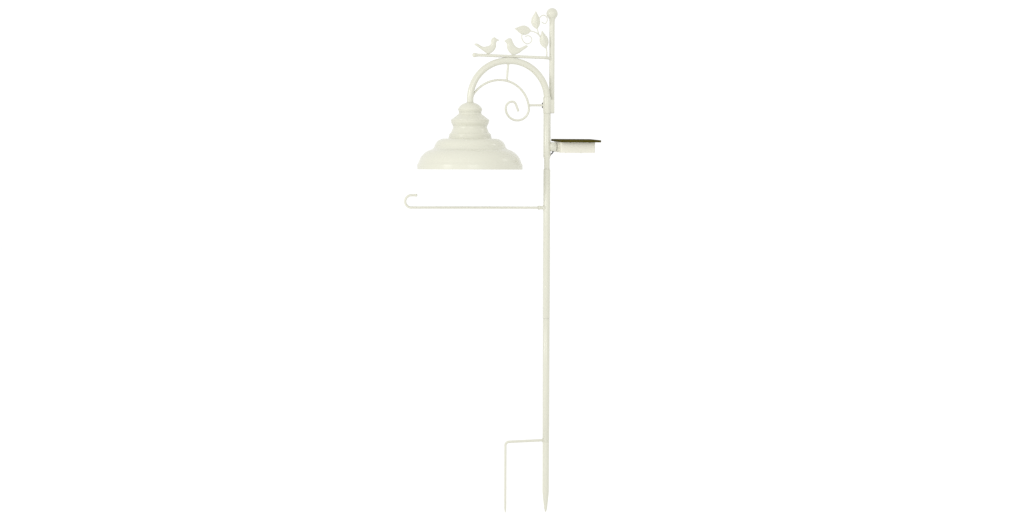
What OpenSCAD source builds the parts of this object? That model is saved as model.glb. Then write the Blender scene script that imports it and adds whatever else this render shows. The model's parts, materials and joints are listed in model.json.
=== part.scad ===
// Solar lamp post with a feeder hook: sectional steel pole, arch head with a bell
// shade, bird-and-leaf topper, tilting solar box, screw-in hook arm and ground stake.
// Millimetres. Z = 0 is the seam at ground level, +Z up, +X towards the solar box.

/* [Pole] */
// Outside radius of the ground stake
stake_r = 9.8; // [8:0.1:10]
// Length of the ground stake below the seam
stake_len = 213; // [150:1:300]
// Length of the tapered point of the stake
stake_point = 62; // [30:1:80]
// Outside radius of the lower pole section
lower_r = 10; // [9.5:0.1:10.5]
// Outside radius of the middle pole section
middle_r = 10.4; // [9.7:0.1:10.8]
// Outside radius of the top pole section
top_r = 10.9; // [10.2:0.1:11]
// Outside radius of the swaged neck and of the spigots
neck_r = 8.5; // [8.3:0.05:8.5]
// Height of the seam between the lower and middle sections
lower_seam_z = 374; // [300:1:450]
// Height at which the neck leaves the middle section
neck_z = 827; // [780:1:840]
// Height at which the neck reaches the full top section
neck_top_z = 866; // [850:1:868]
// Height of the lower edge of the joint sleeve
sleeve_z = 997; // [985:1:1005]
// Height of the top edge of the joint sleeve
sleeve_top_z = 1045; // [1035:1:1060]
// Outside radius of the joint sleeve
sleeve_r = 12; // [11.5:0.1:12.5]

/* [Step] */
// Radius of the prong rod
step_r = 3.4; // [2.5:0.1:3.6]
// Radius of the step bar
step_bar_r = 3.8; // [3.5:0.1:4.5]
// Distance of the prong from the pole axis
step_reach = 126.8; // [100:0.2:150]
// Slope of the step bar up towards the pole, degrees
step_slope = 1.8; // [0:0.1:5]

/* [Arch] */
// Distance from the pole axis to the lamp axis
lamp_x = 240.6; // [220:0.2:260]
// Bend radius of the arch centre line
arch_bend = 116; // [105:1:119]
// Height at which the arch legs start to bend
arch_spring_z = 1038; // [1030:0.5:1060]
// Outside radius of the arch tube
arch_r = 9.8; // [9:0.1:10]
// Radius of the scroll rod
scroll_r = 3.3; // [2:0.1:3.5]

/* [Topper] */
// Radius of the topper post
post_r = 8.1; // [7:0.1:8.5]
// Post axis, to the right of the pole axis
post_x = 18.2; // [18:0.1:20]
// Post axis, behind the pole axis
post_y = 13; // [12:0.1:14]
// Height of the ball's centre
ball_z = 1298.7; // [1280:0.1:1310]
// Radius of the ball
ball_r = 17.2; // [14:0.1:18]
// Radius of the perch bar
perch_r = 4.4; // [3:0.1:5]
// Thickness of the birds
bird_t = 9; // [4:0.5:12]
// Thickness of the leaves
leaf_t = 2.4; // [1.5:0.1:4]
// Radius of the vine and tendril wires
wire_r = 1.9; // [1.2:0.1:2.2]

/* [Shade] */
// Thickness of the spun shade metal
shade_t = 0.8; // [0.6:0.1:1.5]
// Radius of the shade at its rim
rim_r = 159; // [150:1:165]
// Height of the rim's lower edge
rim_z = 825.5; // [820:0.5:830]

/* [Solar unit] */
// Height of the tilt pivot
pivot_z = 895.4; // [885:0.2:905]
// Rest tilt of the unit towards the front, degrees
rest_tilt = 2.1; // [0:0.1:10]
// Radius of the knuckle on the pole
knuckle_r = 14; // [12:0.5:15]
// Free end of the knuckle, from the pole axis
knuckle_end = 28.6; // [27:0.1:29]
// Size of the solar box: along X, across, and up
box_size = [108.5, 76, 32.5]; // [20:0.5:120]
// Left wall of the solar box, from the pole axis
box_x = 33; // [32:0.5:40]
// Middle of the panel plate, from the pole axis
panel_x = 91.5; // [88:0.5:95]
// Size of the panel plate: along X, across, and up
panel_size = [125, 120, 6.5]; // [3:0.5:140]

/* [Hook arm] */
// Height of the hook arm
hook_z = 710.5; // [600:0.5:800]
// Radius of the hook rod
hook_r = 3.5; // [2.5:0.1:4]
// Distance from the pole axis to where the hook starts to bend
hook_reach = 422.5; // [300:1:450]
// Bend radius of the hook
hook_bend = 18.5; // [12:0.5:25]
// Length of the hook's straight upper tip
hook_tip = 15; // [8:1:25]

/* [Hidden] */
$fn = 48;
fit_gap = 0.05;
seam_gap = 0.3;
wall = 1.35;
weld_bite = 0.4;
cream = [0.92, 0.91, 0.84];
dark = [0.1, 0.1, 0.09];
steel = [0.72, 0.72, 0.7];
board_green = [0.1, 0.35, 0.2];

// Length of the spigots, and the bores that take them
spigot_len = 45;
bore_r = neck_r + fit_gap;
top_bore_r = 9.3;
top_end_z = 1021;
arch_bore_r = arch_r - 1.1;
arch_end_z = 1023;
arch_top_z = arch_spring_z + arch_bend;
lamp_end_z = 1000;

// Lead, hollow stud and box floor
lead_r = 1.8;
stud_r = 4;
stud_bore_r = 2.4;
stud_end = 52;
lead_hole_z = pivot_z - 24.5;
lead_join_z = 990;
box_low = -17;
box_wall = 2;

// Step, hook boss and topper bracket
lower_bore_r = 8.4;
step_bend = 11;
step_axis = [step_bend - step_reach, -9.5];
boss_end = 26;
boss_r = 5.7;
saddle_screw_z = 5.8;
bracket_left = 4;
bracket_right = 20.8;
bracket_front = -8.5;
bracket_back = 8;
bracket_screw_y = -2;
bracket_screw_z = [10, 31];
// Lamp: threaded stem, spun tiers and LED housing
stem_r = 5;
stem_low_z = 893;
gallery_top_z = lamp_end_z;
bowl_top_z = 918.7;
housing_top_z = 931;
housing_flange_z = bowl_top_z - shade_t;
// Solar unit, in its own tilted frame
hub_x = 29.7;
lead_exit_x = 19;
box_mid_x = box_x + box_size[0] / 2;
box_top = box_low + box_size[2];
screw_x = box_size[0] / 2 - 6;
screw_y = box_size[1] / 2 - 6;
door_x = box_mid_x - 8;
door_size = [56, 26];
door_y = -16;
slot_x = 112;
slot_y = 20;
knob_size = [5, 6];
knob_travel = 4;
cell_recess = 1.6;
frame_rim = 4;
board_low = box_low + 20;

// Scroll: centres and radii of its tangent arcs in the X-Z plane
scroll_left_c = [-147.6, 996];
scroll_left_r = 100;
scroll_main_c = [-147.6, 1005];
scroll_main_r = 91;
scroll_curl_r = 36.3;
scroll_curl_a = 6;
scroll_eye_r = 20.3;
curl_shift = scroll_main_r - scroll_curl_r;
scroll_curl_c = scroll_main_c + curl_shift * [cos(scroll_curl_a), sin(scroll_curl_a)];
scroll_eye_c = scroll_curl_c - [scroll_curl_r - scroll_eye_r, 0];
scroll_hook_a = 90;
scroll_hook_r = 12;
scroll_hook_c = scroll_eye_c + [0, scroll_eye_r - scroll_hook_r];
scroll_tail_a = 23;
scroll_tail_r = 200;
scroll_tail_c = scroll_hook_c - (scroll_tail_r - scroll_hook_r) * [cos(scroll_tail_a), sin(scroll_tail_a)];
scroll_tail_turn = 7;
strut_z = 1020.5;
strut_x = -124.6;
strut_lean = 2.3;

// Perch bar: a straight rod along the arch's top, then a short bend back to the post
perch_slope = 0.027;
perch_left = -217;
perch_bend = -10;
perch_touch_z = arch_top_z + arch_r + perch_r - weld_bite;
function perch_z(x) = perch_touch_z - perch_slope * (x + lamp_x / 2);

// ---------- helpers ----------

// Points on an arc from angle a0 to a1
function arc_pts(c, r, a0, a1, n = 8) =
    [for (i = [0:n]) let (a = a0 + (a1 - a0) * i / n) c + r * [cos(a), sin(a)]];

// One point of a Catmull-Rom curve between b and c
function curve_pt(a, b, c, d, t) =
    0.5 * (2 * b + (c - a) * t + (2 * a - 5 * b + 4 * c - d) * t * t
        + (3 * b - a - 3 * c + d) * t * t * t);

// Smooth closed curve through the points
function closed_curve(p, n = 4) =
    [for (i = [0:len(p) - 1], k = [0:n - 1])
        curve_pt(p[(i + len(p) - 1) % len(p)], p[i], p[(i + 1) % len(p)],
            p[(i + 2) % len(p)], k / n)];

// Smooth open curve through the points
function open_curve(p, n = 4) = concat(
    [for (i = [0:len(p) - 2], k = [0:n - 1])
        curve_pt(p[max(i - 1, 0)], p[i], p[i + 1], p[min(i + 2, len(p) - 1)], k / n)],
    [p[len(p) - 1]]);

// Points of the X-Z plane set at one depth
function in_plane(p, y = 0) = [for (q = p) [q[0], y, q[1]]];

// Outline moved inwards along its normals, for shell walls
function unit(v) = v / norm(v);
function inset_pts(p, t) =
    [for (i = [0:len(p) - 1])
        let (d = unit(p[min(i + 1, len(p) - 1)] - p[max(i - 1, 0)]))
            [max(p[i][0] + t * d[1], 0.1), p[i][1] - t * d[0]]];

// Tube swept along a path that never runs along Y
module sweep(path, r, sides = 8) {
    last = len(path) - 1;
    rings = [for (i = [0:last])
        let (t = unit(path[min(i + 1, last)] - path[max(i - 1, 0)]),
            n = unit(cross(t, [0, 1, 0])), b = cross(n, t))
        for (k = [0:sides - 1]) path[i] + r * (cos(360 * k / sides) * n + sin(360 * k / sides) * b)];
    walls = [for (i = [0:last - 1], k = [0:sides - 1])
        let (a = i * sides + k, b = i * sides + (k + 1) % sides)
            [a, a + sides, b + sides, b]];
    start = [[for (k = [0:sides - 1]) k]];
    end = [[for (k = [sides - 1:-1:0]) last * sides + k]];
    polyhedron(points = rings, faces = concat(start, walls, end), convexity = 6);
}

// Round bar from one point to another
module rod(from, to, r) {
    d = to - from;
    translate(from)
        rotate([0, acos(d[2] / norm(d)), atan2(d[1], d[0])])
            cylinder(h = norm(d), r = r);
}

// Part of a ring in the X-Z plane
module ring_arc(c, bend, r, a0, a1) {
    translate([c[0], 0, c[1]])
        rotate([90, 0, 0])
            rotate([0, 0, a0])
                rotate_extrude(angle = a1 - a0)
                    translate([bend, 0])
                        circle(r = r);
}

// Cylinder along +X
module x_cylinder(x, h, r) {
    translate([x, 0, 0])
        rotate([0, 90, 0])
            cylinder(h = h, r = r);
}

// Plate standing in the X-Z plane, centred on Y
module plate(outline, t) {
    rotate([90, 0, 0])
        translate([0, 0, -t / 2])
            linear_extrude(t)
                polygon(outline);
}

module hex_nut(across, h, bore) {
    difference() {
        cylinder(h = h, d = across / cos(30), $fn = 6);
        translate([0, 0, -1])
            cylinder(h = h + 2, r = bore);
    }
}

// Pan head screw, head at the origin and shank down -Z
module screw(head_r, head_h, shank_r, shank_len) {
    rotate_extrude()
        polygon(concat([[0, -shank_len], [shank_r, -shank_len], [shank_r, 0], [head_r, 0]],
            arc_pts([head_r - head_h * 0.6, head_h * 0.4], head_h * 0.6, 0, 90, 4),
            [[0, head_h]]));
}

// The tilting unit's own frame: origin on the pivot, tilted to rest
module unit_frame() {
    translate([0, 0, pivot_z])
        rotate([rest_tilt, 0, 0])
            children();
}

// ---------- pole ----------

module ground_stake() color(cream) {
    rotate_extrude()
        polygon(concat(
            [[0, stake_point - stake_len], [0, 2 - stake_len]],
            arc_pts([1.9, 2 - stake_len], 2, -90, -10, 4),
            [[4.6, 10 - stake_len], [6.3, 26 - stake_len], [8.3, 44 - stake_len],
                [stake_r, stake_point - stake_len], [stake_r, 0], [lower_bore_r - fit_gap, 0],
                [lower_bore_r - fit_gap, spigot_len], [lower_bore_r - wall, spigot_len],
                [lower_bore_r - wall, stake_point - stake_len]]));
}

module lower_pole() color(cream) {
    rotate_extrude()
        polygon([
            [lower_bore_r, 0], [lower_r, 0], [lower_r, lower_seam_z - seam_gap],
            [neck_r, lower_seam_z - seam_gap], [neck_r, lower_seam_z + spigot_len],
            [neck_r - wall, lower_seam_z + spigot_len], [neck_r - wall, spigot_len + 40],
            [lower_bore_r, spigot_len + 36]
        ]);
}

module step_prong() color(cream) {
    difference() {
        union() {
            translate([step_axis[0], 0, step_axis[1] + step_bend])
                rotate([0, -step_slope, 0])
                    x_cylinder(-1, -step_axis[0] - 2, step_bar_r);
            translate([-step_reach, 0, 12 - stake_len])
                cylinder(h = step_axis[1] + stake_len - 12, r = step_r);
            ring_arc(step_axis, step_bend, step_r, 90, 180);
            translate([-step_reach, 0, -stake_len])
                cylinder(h = 12, r1 = 1.6, r2 = step_r);
        }
        translate([0, 0, -20])
            cylinder(h = 60, r = lower_r);
    }
}

module middle_pole() color(cream) {
    difference() {
        translate([0, 0, lower_seam_z])
            cylinder(h = neck_z - lower_seam_z, r = middle_r);
        translate([0, 0, lower_seam_z - 1])
            cylinder(h = neck_z - lower_seam_z + 2, r = bore_r);
    }
}

module top_pole() color(cream) {
    difference() {
        rotate_extrude()
            polygon([
                [neck_r, neck_z - spigot_len], [neck_r, neck_top_z - 3], [top_r, neck_top_z],
                [top_r, top_end_z], [top_bore_r, top_end_z], [top_bore_r, neck_top_z + 1],
                [neck_r - 1.2, neck_top_z - 4], [neck_r - 1.2, neck_z - spigot_len]
            ]);
        translate([0, 0, lead_hole_z])
            x_cylinder(5, 10, 3.35);
    }
}

// ---------- hook arm ----------

module hook_boss() color(cream) {
    translate([0, 0, hook_z])
        difference() {
            rotate([0, -90, 0])
                rotate_extrude()
                    polygon(concat([[0, 5], [8.6, 5], [8.6, 9.6]],
                        arc_pts([8.6, 13], 3.4, -90, -180, 5),
                        [[boss_r - 0.3, boss_end - 5], [boss_r + 0.4, boss_end - 3],
                            [boss_r + 0.4, boss_end], [0, boss_end]]));
            translate([0, 0, -20])
                cylinder(h = 40, r = middle_r);
            x_cylinder(-boss_end - 1, boss_end + 1 - middle_r - 2, hook_r + fit_gap);
        }
}

module boss_washer() color(cream) {
    translate([0, 0, hook_z])
        difference() {
            x_cylinder(-boss_end - 2, 2, 5.4);
            x_cylinder(-boss_end - 3, 4, hook_r + 0.1);
        }
}

module hook_arm() color(cream) {
    hook_c = [-hook_reach, hook_z + hook_bend];
    rod([-hook_reach, 0, hook_z], [-middle_r - 4, 0, hook_z], hook_r);
    ring_arc(hook_c, hook_bend, hook_r, 90, 270);
    rod([-hook_reach, 0, hook_z + 2 * hook_bend],
        [hook_tip - hook_reach, 0, hook_z + 2 * hook_bend], hook_r);
    translate([hook_tip - hook_reach, 0, hook_z + 2 * hook_bend])
        sphere(r = hook_r + 0.9);
}

// ---------- head ----------

module joint_sleeve() color(cream) {
    rotate_extrude()
        polygon([
            [top_r + fit_gap, sleeve_z], [sleeve_r - 0.6, sleeve_z], [sleeve_r, sleeve_z + 0.6],
            [sleeve_r, sleeve_top_z - 0.6], [sleeve_r - 0.6, sleeve_top_z],
            [arch_r, sleeve_top_z], [arch_r, arch_end_z], [arch_r - 1, arch_end_z - 0.5],
            [arch_r - 1, arch_end_z - 1.5], [top_r + fit_gap, arch_end_z - 1.5]
        ]);
}

module arch_core(r, extra) {
    translate([0, 0, arch_end_z - extra])
        cylinder(h = arch_spring_z - arch_end_z + extra, r = r);
    translate([-lamp_x, 0, lamp_end_z - extra])
        cylinder(h = arch_spring_z - lamp_end_z + extra, r = r);
    ring_arc([-arch_bend, arch_spring_z], arch_bend, r, 0, 90);
    ring_arc([arch_bend - lamp_x, arch_spring_z], arch_bend, r, 90, 180);
    rod([arch_bend - lamp_x, 0, arch_top_z], [-arch_bend, 0, arch_top_z], r);
}

module arch_tube() color(cream) {
    difference() {
        arch_core(arch_r, 0);
        arch_core(arch_bore_r, 1);
    }
}

module arch_scroll() color(cream) {
    difference() {
        union() {
            ring_arc(scroll_left_c, scroll_left_r, scroll_r, 90, 151);
            ring_arc(scroll_main_c, scroll_main_r, scroll_r, scroll_curl_a, 90);
            ring_arc(scroll_curl_c, scroll_curl_r, scroll_r, -180, scroll_curl_a);
            ring_arc(scroll_eye_c, scroll_eye_r, scroll_r, scroll_hook_a, 180);
            ring_arc(scroll_hook_c, scroll_hook_r, scroll_r, scroll_tail_a, scroll_hook_a);
            ring_arc(scroll_tail_c, scroll_tail_r, scroll_r, scroll_tail_a - scroll_tail_turn,
                scroll_tail_a);
        }
        translate([-lamp_x, 0, sleeve_z])
            cylinder(h = 100, r = arch_r - weld_bite);
    }
}

scroll_side_x = scroll_main_c[0] + sqrt(pow(scroll_main_r, 2) - pow(strut_z - scroll_main_c[1], 2));
scroll_top_z = scroll_main_c[1] + sqrt(pow(scroll_main_r, 2) - pow(strut_x - strut_lean - scroll_main_c[0], 2));

module scroll_strut() color(cream) {
    rod([strut_x - strut_lean, 0, scroll_top_z + scroll_r - weld_bite],
        [strut_x + strut_lean, 0, arch_top_z - arch_r + weld_bite], scroll_r - 0.1);
}

module sleeve_strut() color(cream) {
    rod([scroll_side_x + scroll_r - weld_bite, 0, strut_z], [-sleeve_r - 2.2, 0, strut_z],
        scroll_r + 0.1);
}

module saddle_cut() {
    translate([0, 0, sleeve_z - 1])
        cylinder(h = 60, r = sleeve_r);
}

module strut_saddle() color(cream) {
    difference() {
        translate([-sleeve_r - 2.2, -5, strut_z - 9])
            cube([8, 10, 18]);
        saddle_cut();
        for (side = [-1, 1])
            translate([0, 0, strut_z + saddle_screw_z * side])
                x_cylinder(-sleeve_r - 4, 8, 1.25);
    }
}

module saddle_screws() color(dark) {
    for (side = [-1, 1])
        translate([-sleeve_r - 2.2, 0, strut_z + saddle_screw_z * side])
            rotate([0, -90, 0])
                screw(2.3, 1.9, 1.2, 1.5);
}

// ---------- topper ----------

module topper_post() color(cream) {
    translate([post_x, post_y, 0])
        difference() {
            rotate_extrude()
                polygon([
                    [post_r - 1.2, sleeve_z], [post_r, sleeve_z], [post_r, ball_z - ball_r - 6],
                    [post_r + 0.7, ball_z - ball_r - 1.5], [post_r + 2.2, ball_z - ball_r + 3.2],
                    [post_r - 1.2, ball_z - ball_r + 3.2]
                ]);
            translate([0, 0, ball_z])
                sphere(r = ball_r);
        }
}

module finial_ball() color(cream) {
    translate([post_x, post_y, ball_z])
        sphere(r = ball_r);
}

module topper_bracket() color(cream) {
    difference() {
        translate([bracket_left, bracket_front, sleeve_z + 1])
            cube([bracket_right - bracket_left, bracket_back - bracket_front, 40]);
        saddle_cut();
        translate([post_x, post_y, sleeve_z - 1])
            cylinder(h = 60, r = post_r);
        for (z = bracket_screw_z)
            translate([0, bracket_screw_y, sleeve_z + z])
                x_cylinder(bracket_right - 6.5, 8, 1.45);
    }
}

module bracket_screws() color(cream) {
    for (z = bracket_screw_z)
        translate([bracket_right, bracket_screw_y, sleeve_z + z])
            rotate([0, 90, 0])
                screw(2.6, 1.6, 1.4, 6);
}

module perch_bar() color(cream) {
    difference() {
        union() {
            rod([perch_left, 0, perch_z(perch_left)], [perch_bend, 0, perch_z(perch_bend)], perch_r);
            translate([perch_bend, 0, perch_z(perch_bend)])
                sphere(r = perch_r + 0.3);
            rod([perch_bend, 0, perch_z(perch_bend)],
                [post_x, post_y, perch_z(post_x) - 1], perch_r);
        }
        translate([post_x, post_y, sleeve_z])
            cylinder(h = 250, r = post_r);
    }
}

// Round bud on the free end of the perch bar
module perch_tip() color(cream) {
    translate([perch_left, 0, perch_z(perch_left)])
        rotate([0, -90, 0])
            rotate_extrude()
                polygon([[0, 0], [4.4, 0], [5, 4], [6.2, 8], [6.8, 11], [5.8, 14], [3.4, 16.2], [0, 17]]);
}

// Outlines of the birds, from the point where the feet meet the perch
bird_left_pts = [
    [-43, 30], [-34, 32.5], [-24, 27], [-14, 23], [-1, 25.5], [7, 30], [8.5, 41], [13, 49],
    [20, 52], [26.5, 47.5], [35, 43.5], [26.5, 39.5], [24.5, 31], [24, 22], [17, 11], [6, 3],
    [-2, 1], [-8, 5.5], [-24, 17]
];
bird_right_pts = [
    [-26.5, 43.5], [-20, 48], [-14, 51.5], [-5, 51], [0, 40], [6, 30], [13, 25], [20, 22.5],
    [30, 26.5], [41, 31], [47, 28], [41, 22.5], [31, 16], [22, 9], [12.5, 4.5], [2, 1],
    [-6, 5], [-14, 14], [-18.5, 25], [-19.5, 36]
];
bird_left_x = -185;
bird_right_x = -108;

module bird(pts, x) {
    translate([x, 0, perch_z(x) + perch_r - 1.4])
        plate(closed_curve(pts, 4), bird_t);
}

module bird_left() color(cream)
    bird(bird_left_pts, bird_left_x);

module bird_right() color(cream)
    bird(bird_right_pts, bird_right_x);

// Leaf in the X-Z plane from its base to its tip, with a bulge on each side
module leaf(base, tip, left, right) {
    d = tip - base;
    n = [-d[1], d[0]] / norm(d);
    plate(closed_curve([base, base + 0.18 * d + 0.72 * left * n, base + 0.42 * d + left * n,
        base + 0.72 * d + 0.62 * left * n, tip, base + 0.72 * d - 0.62 * right * n,
        base + 0.42 * d - right * n, base + 0.18 * d - 0.72 * right * n], 4), leaf_t);
}

leaf_fork = [-27, 1235];
leaf_top_base = [-33, 1252];
leaf_left_base = [-52, 1245];
leaf_right_base = [-4.5, 1194];

module leaf_top() color(cream)
    leaf(leaf_top_base, [-36, 1306], 16.5, 12);

module leaf_left() color(cream)
    leaf(leaf_left_base, [-103, 1252], 15, 13.5);

module leaf_right() color(cream)
    leaf(leaf_right_base, [-17, 1247], 14, 14);

module vine_stem() color(cream) {
    foot_x = -1;
    sweep(open_curve([[foot_x, 3, perch_z(foot_x) + perch_r - 1.2], [foot_x, 2.5, 1180],
        [-3, 3.1, 1195], [-12, 3.3, 1214], [leaf_fork[0] + 3, 1.2, leaf_fork[1] - 5],
        [leaf_fork[0] - 2, 0, leaf_fork[1] + 7], [leaf_top_base[0], 0, leaf_top_base[1] + 2]], 4),
        wire_r);
}

module vine_branch() color(cream)
    sweep(open_curve([[leaf_fork[0] + 1, 0.6, leaf_fork[1] - 1], [-36, 0, 1241],
        [leaf_left_base[0] - 2, 0, leaf_left_base[1] + 0.5]], 4), wire_r - 0.3);

module tendril_upper() color(cream)
    sweep(in_plane(open_curve([[-26, 1283], [-20, 1290], [-12, 1293.5], [-3.5, 1289], [-0.5, 1281],
        [-2.5, 1272], [-9, 1268], [-17.5, 1272.5]], 4)), wire_r - 0.2);

module tendril_lower() color(cream)
    sweep(in_plane(open_curve([[-77.5, 1237], [-80.5, 1226], [-75, 1213], [-64, 1206], [-53, 1210],
        [-48.5, 1219], [-53, 1227.5], [-61, 1230.5], [-68.5, 1228.5]], 4)), wire_r - 0.2);

// ---------- lamp ----------

module at_lamp() {
    translate([-lamp_x, 0, 0])
        children();
}

module stem_plug() color(steel) {
    at_lamp()
        difference() {
            translate([0, 0, lamp_end_z])
                cylinder(h = 18, r = arch_bore_r);
            translate([0, 0, lamp_end_z - 1])
                cylinder(h = 20, r = stem_r);
        }
}

module lamp_stem() color(steel) {
    at_lamp()
        difference() {
            translate([0, 0, stem_low_z])
                cylinder(h = lamp_end_z + 18 - stem_low_z, r = stem_r);
            translate([0, 0, stem_low_z - 1])
                cylinder(h = lamp_end_z + 20 - stem_low_z, r = stem_r - 2);
        }
}

// Shell spun from an outline that runs from the inside edge outwards and down
module spun(outline) {
    inner = inset_pts(outline, shade_t);
    last = len(outline) - 1;
    at_lamp()
        rotate_extrude($fn = 96)
            polygon(concat(outline, [for (i = [last:-1:0]) inner[i]]));
}

// Dome with a small brim and a neck that stands on the gallery
cap_outline = concat(arc_pts([5, 992], 35.4, 81, 30.5, 8),
    [[36.6, 1008.2], [36.3, 1005], [34.6, 1001.5], [33.8, gallery_top_z - 1.5]]);

// Neck, conical brim, waist and bell lip
gallery_outline = concat([[stem_r + 0.1, gallery_top_z], [31.2, gallery_top_z], [33.8, 997.6],
    [35, 992.4], [43.3, 986.2], [51.5, 980.2]], arc_pts([56.6, 974.2], 1.8, 60, -50, 4),
    [[57, 967]], arc_pts([61.5, 953], 10.2, 145, 214, 6),
    [[55.4, 941], [58, 936], [62.4, 932.6], [63.6, 927], [64.6, 922.5], [66, bowl_top_z + 0.1]]);

// Flat top, round shoulder, round skirt and upright rim
bowl_outline = concat([[31, bowl_top_z], [70, bowl_top_z]],
    arc_pts([78, 888.5], 30, 88, 12, 9), [[110.6, 889.6]],
    arc_pts([102.5, 833.5], 54, 76, 14, 9), [[157.2, 842.5], [rim_r, 839.5], [rim_r, rim_z]]);

module shade_cap() color(cream)
    spun(cap_outline);

module shade_gallery() color(cream)
    spun(gallery_outline);

module shade_bowl() color(cream)
    spun(bowl_outline);

module stem_nut() color(steel) {
    at_lamp()
        translate([0, 0, gallery_top_z - shade_t - 5])
            hex_nut(17, 5, stem_r);
}

module led_housing() color(cream) {
    at_lamp()
        rotate_extrude()
            polygon([
                [stem_r + 0.1, housing_top_z], [24, housing_top_z], [30, housing_top_z - 6],
                [30, housing_flange_z], [38, housing_flange_z], [38, housing_flange_z - 2],
                [32, housing_flange_z - 3], [32, 882], [30, 882],
                [28, housing_top_z - 8], [22, housing_top_z - 2], [stem_r + 0.1, housing_top_z - 2]
            ]);
}

module housing_nut() color(steel) {
    at_lamp()
        translate([0, 0, housing_top_z - 7])
            hex_nut(17, 5, stem_r);
}

module led_board() color(board_green) {
    at_lamp()
        difference() {
            union() {
                translate([0, 0, 890])
                    cylinder(h = 1.6, r = 26);
                for (i = [0:5])
                    rotate([0, 0, 60 * i])
                        translate([15, -2, 888.4])
                            cube([4, 4, 2]);
            }
            translate([0, 0, 885])
                cylinder(h = 10, r = 3);
        }
}

module led_lens() color([0.95, 0.95, 0.92]) {
    at_lamp()
        rotate_extrude()
            polygon(concat(arc_pts([0, 934], 60, -90, -61.1, 6), [[29.6, 882], [29.6, 887],
                [27.6, 887]], arc_pts([0, 934], 58.2, -61.7, -90, 6)));
}

module lamp_lead() color(dark) {
    top = arch_spring_z;
    route = concat(
        [[0, lead_join_z + seam_gap], [0, lead_join_z + 25]],
        arc_pts([-arch_bend, top], arch_bend, 0, 90, 14),
        arc_pts([arch_bend - lamp_x, top], arch_bend, 90, 180, 14),
        [[-lamp_x, 1010], [-lamp_x, 950], [-lamp_x, stem_low_z - 1.4]]);
    sweep(in_plane(route), lead_r);
}

// ---------- solar unit, fixed side ----------

module solar_knuckle() color(cream) {
    translate([0, 0, pivot_z])
        difference() {
            rotate([0, 90, 0])
                rotate_extrude()
                    polygon([[0, 5], [knuckle_r - 5, 5], [knuckle_r - 5, 7], [knuckle_r - 2, 9.2],
                        [knuckle_r, 12.4], [knuckle_r, knuckle_end - 2.5],
                        [knuckle_r - 0.8, knuckle_end - 0.8], [knuckle_r - 2.5, knuckle_end],
                        [0, knuckle_end]]);
            translate([0, 0, -20])
                cylinder(h = 40, r = top_r);
            x_cylinder(13.5, knuckle_end - 4 - 13.5, knuckle_r - 3.4);
            x_cylinder(12, 30, stud_r);
            translate([lead_exit_x, 0, -20])
                cylinder(h = 20, r = 3.2);
        }
}

module pivot_stud() color(steel) {
    translate([0, 0, pivot_z])
        difference() {
            union() {
                x_cylinder(knuckle_end - 4, stud_end - knuckle_end + 4, stud_r);
                x_cylinder(stud_end - 2, 2, stud_r + 0.6);
            }
            x_cylinder(knuckle_end - 5, stud_end, stud_bore_r);
        }
}

module pivot_washer() color(dark) {
    translate([0, 0, pivot_z])
        difference() {
            x_cylinder(knuckle_end, hub_x - seam_gap - knuckle_end, knuckle_r - 2);
            x_cylinder(knuckle_end - 1, 4, stud_r);
        }
}

module pivot_nut() color(steel) {
    translate([box_x + box_wall + seam_gap, 0, pivot_z])
        rotate([0, 90, 0])
            hex_nut(13, 5, stud_r);
}

// Rubber sleeves where the lead leaves the knuckle and enters the pole
module lead_grommets() color(dark) {
    translate([lead_exit_x, 0, pivot_z - knuckle_r - 1])
        difference() {
            union() {
                cylinder(h = 4.5, r = 3.2);
                cylinder(h = 1, r = 4.2);
            }
            translate([0, 0, -1])
                cylinder(h = 10, r = lead_r + 0.2);
        }
    translate([0, 0, lead_hole_z])
        difference() {
            x_cylinder(top_bore_r, top_r + 0.8 - top_bore_r, 3.3);
            x_cylinder(top_bore_r - 1, 5, 2.5);
        }
}

// Lead from the hollow stud, through the knuckle, into the pole and up its axis
panel_lead_pts = [
    [stud_end, pivot_z], [38, pivot_z], [25.5, pivot_z], [21.6, pivot_z - 1.2], [19.5, pivot_z - 4],
    [lead_exit_x, pivot_z - 8], [lead_exit_x, pivot_z - 15.6], [17.6, pivot_z - 18.6],
    [14.4, pivot_z - 21.6], [10.2, pivot_z - 23.6], [5.5, pivot_z - 25], [0.6, pivot_z - 24.6],
    [-3, pivot_z - 21.4], [-4.4, pivot_z - 16], [-3.8, pivot_z - 6], [-1.6, pivot_z + 6],
    [0, pivot_z + 22], [0, pivot_z + 60], [0, lead_join_z - 8], [0, lead_join_z]
];

module panel_lead() color(dark)
    sweep(in_plane(open_curve(panel_lead_pts, 3)), lead_r);

// ---------- solar unit, tilting side ----------

module at_screws() {
    for (i = [-1, 1], j = [-1, 1])
        translate([box_mid_x + i * screw_x, j * screw_y, 0])
            children();
}

module at_door_screws() {
    for (i = [-1, 1])
        translate([door_x + i * (door_size[0] / 2 - 4), door_y, 0])
            children();
}

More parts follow.
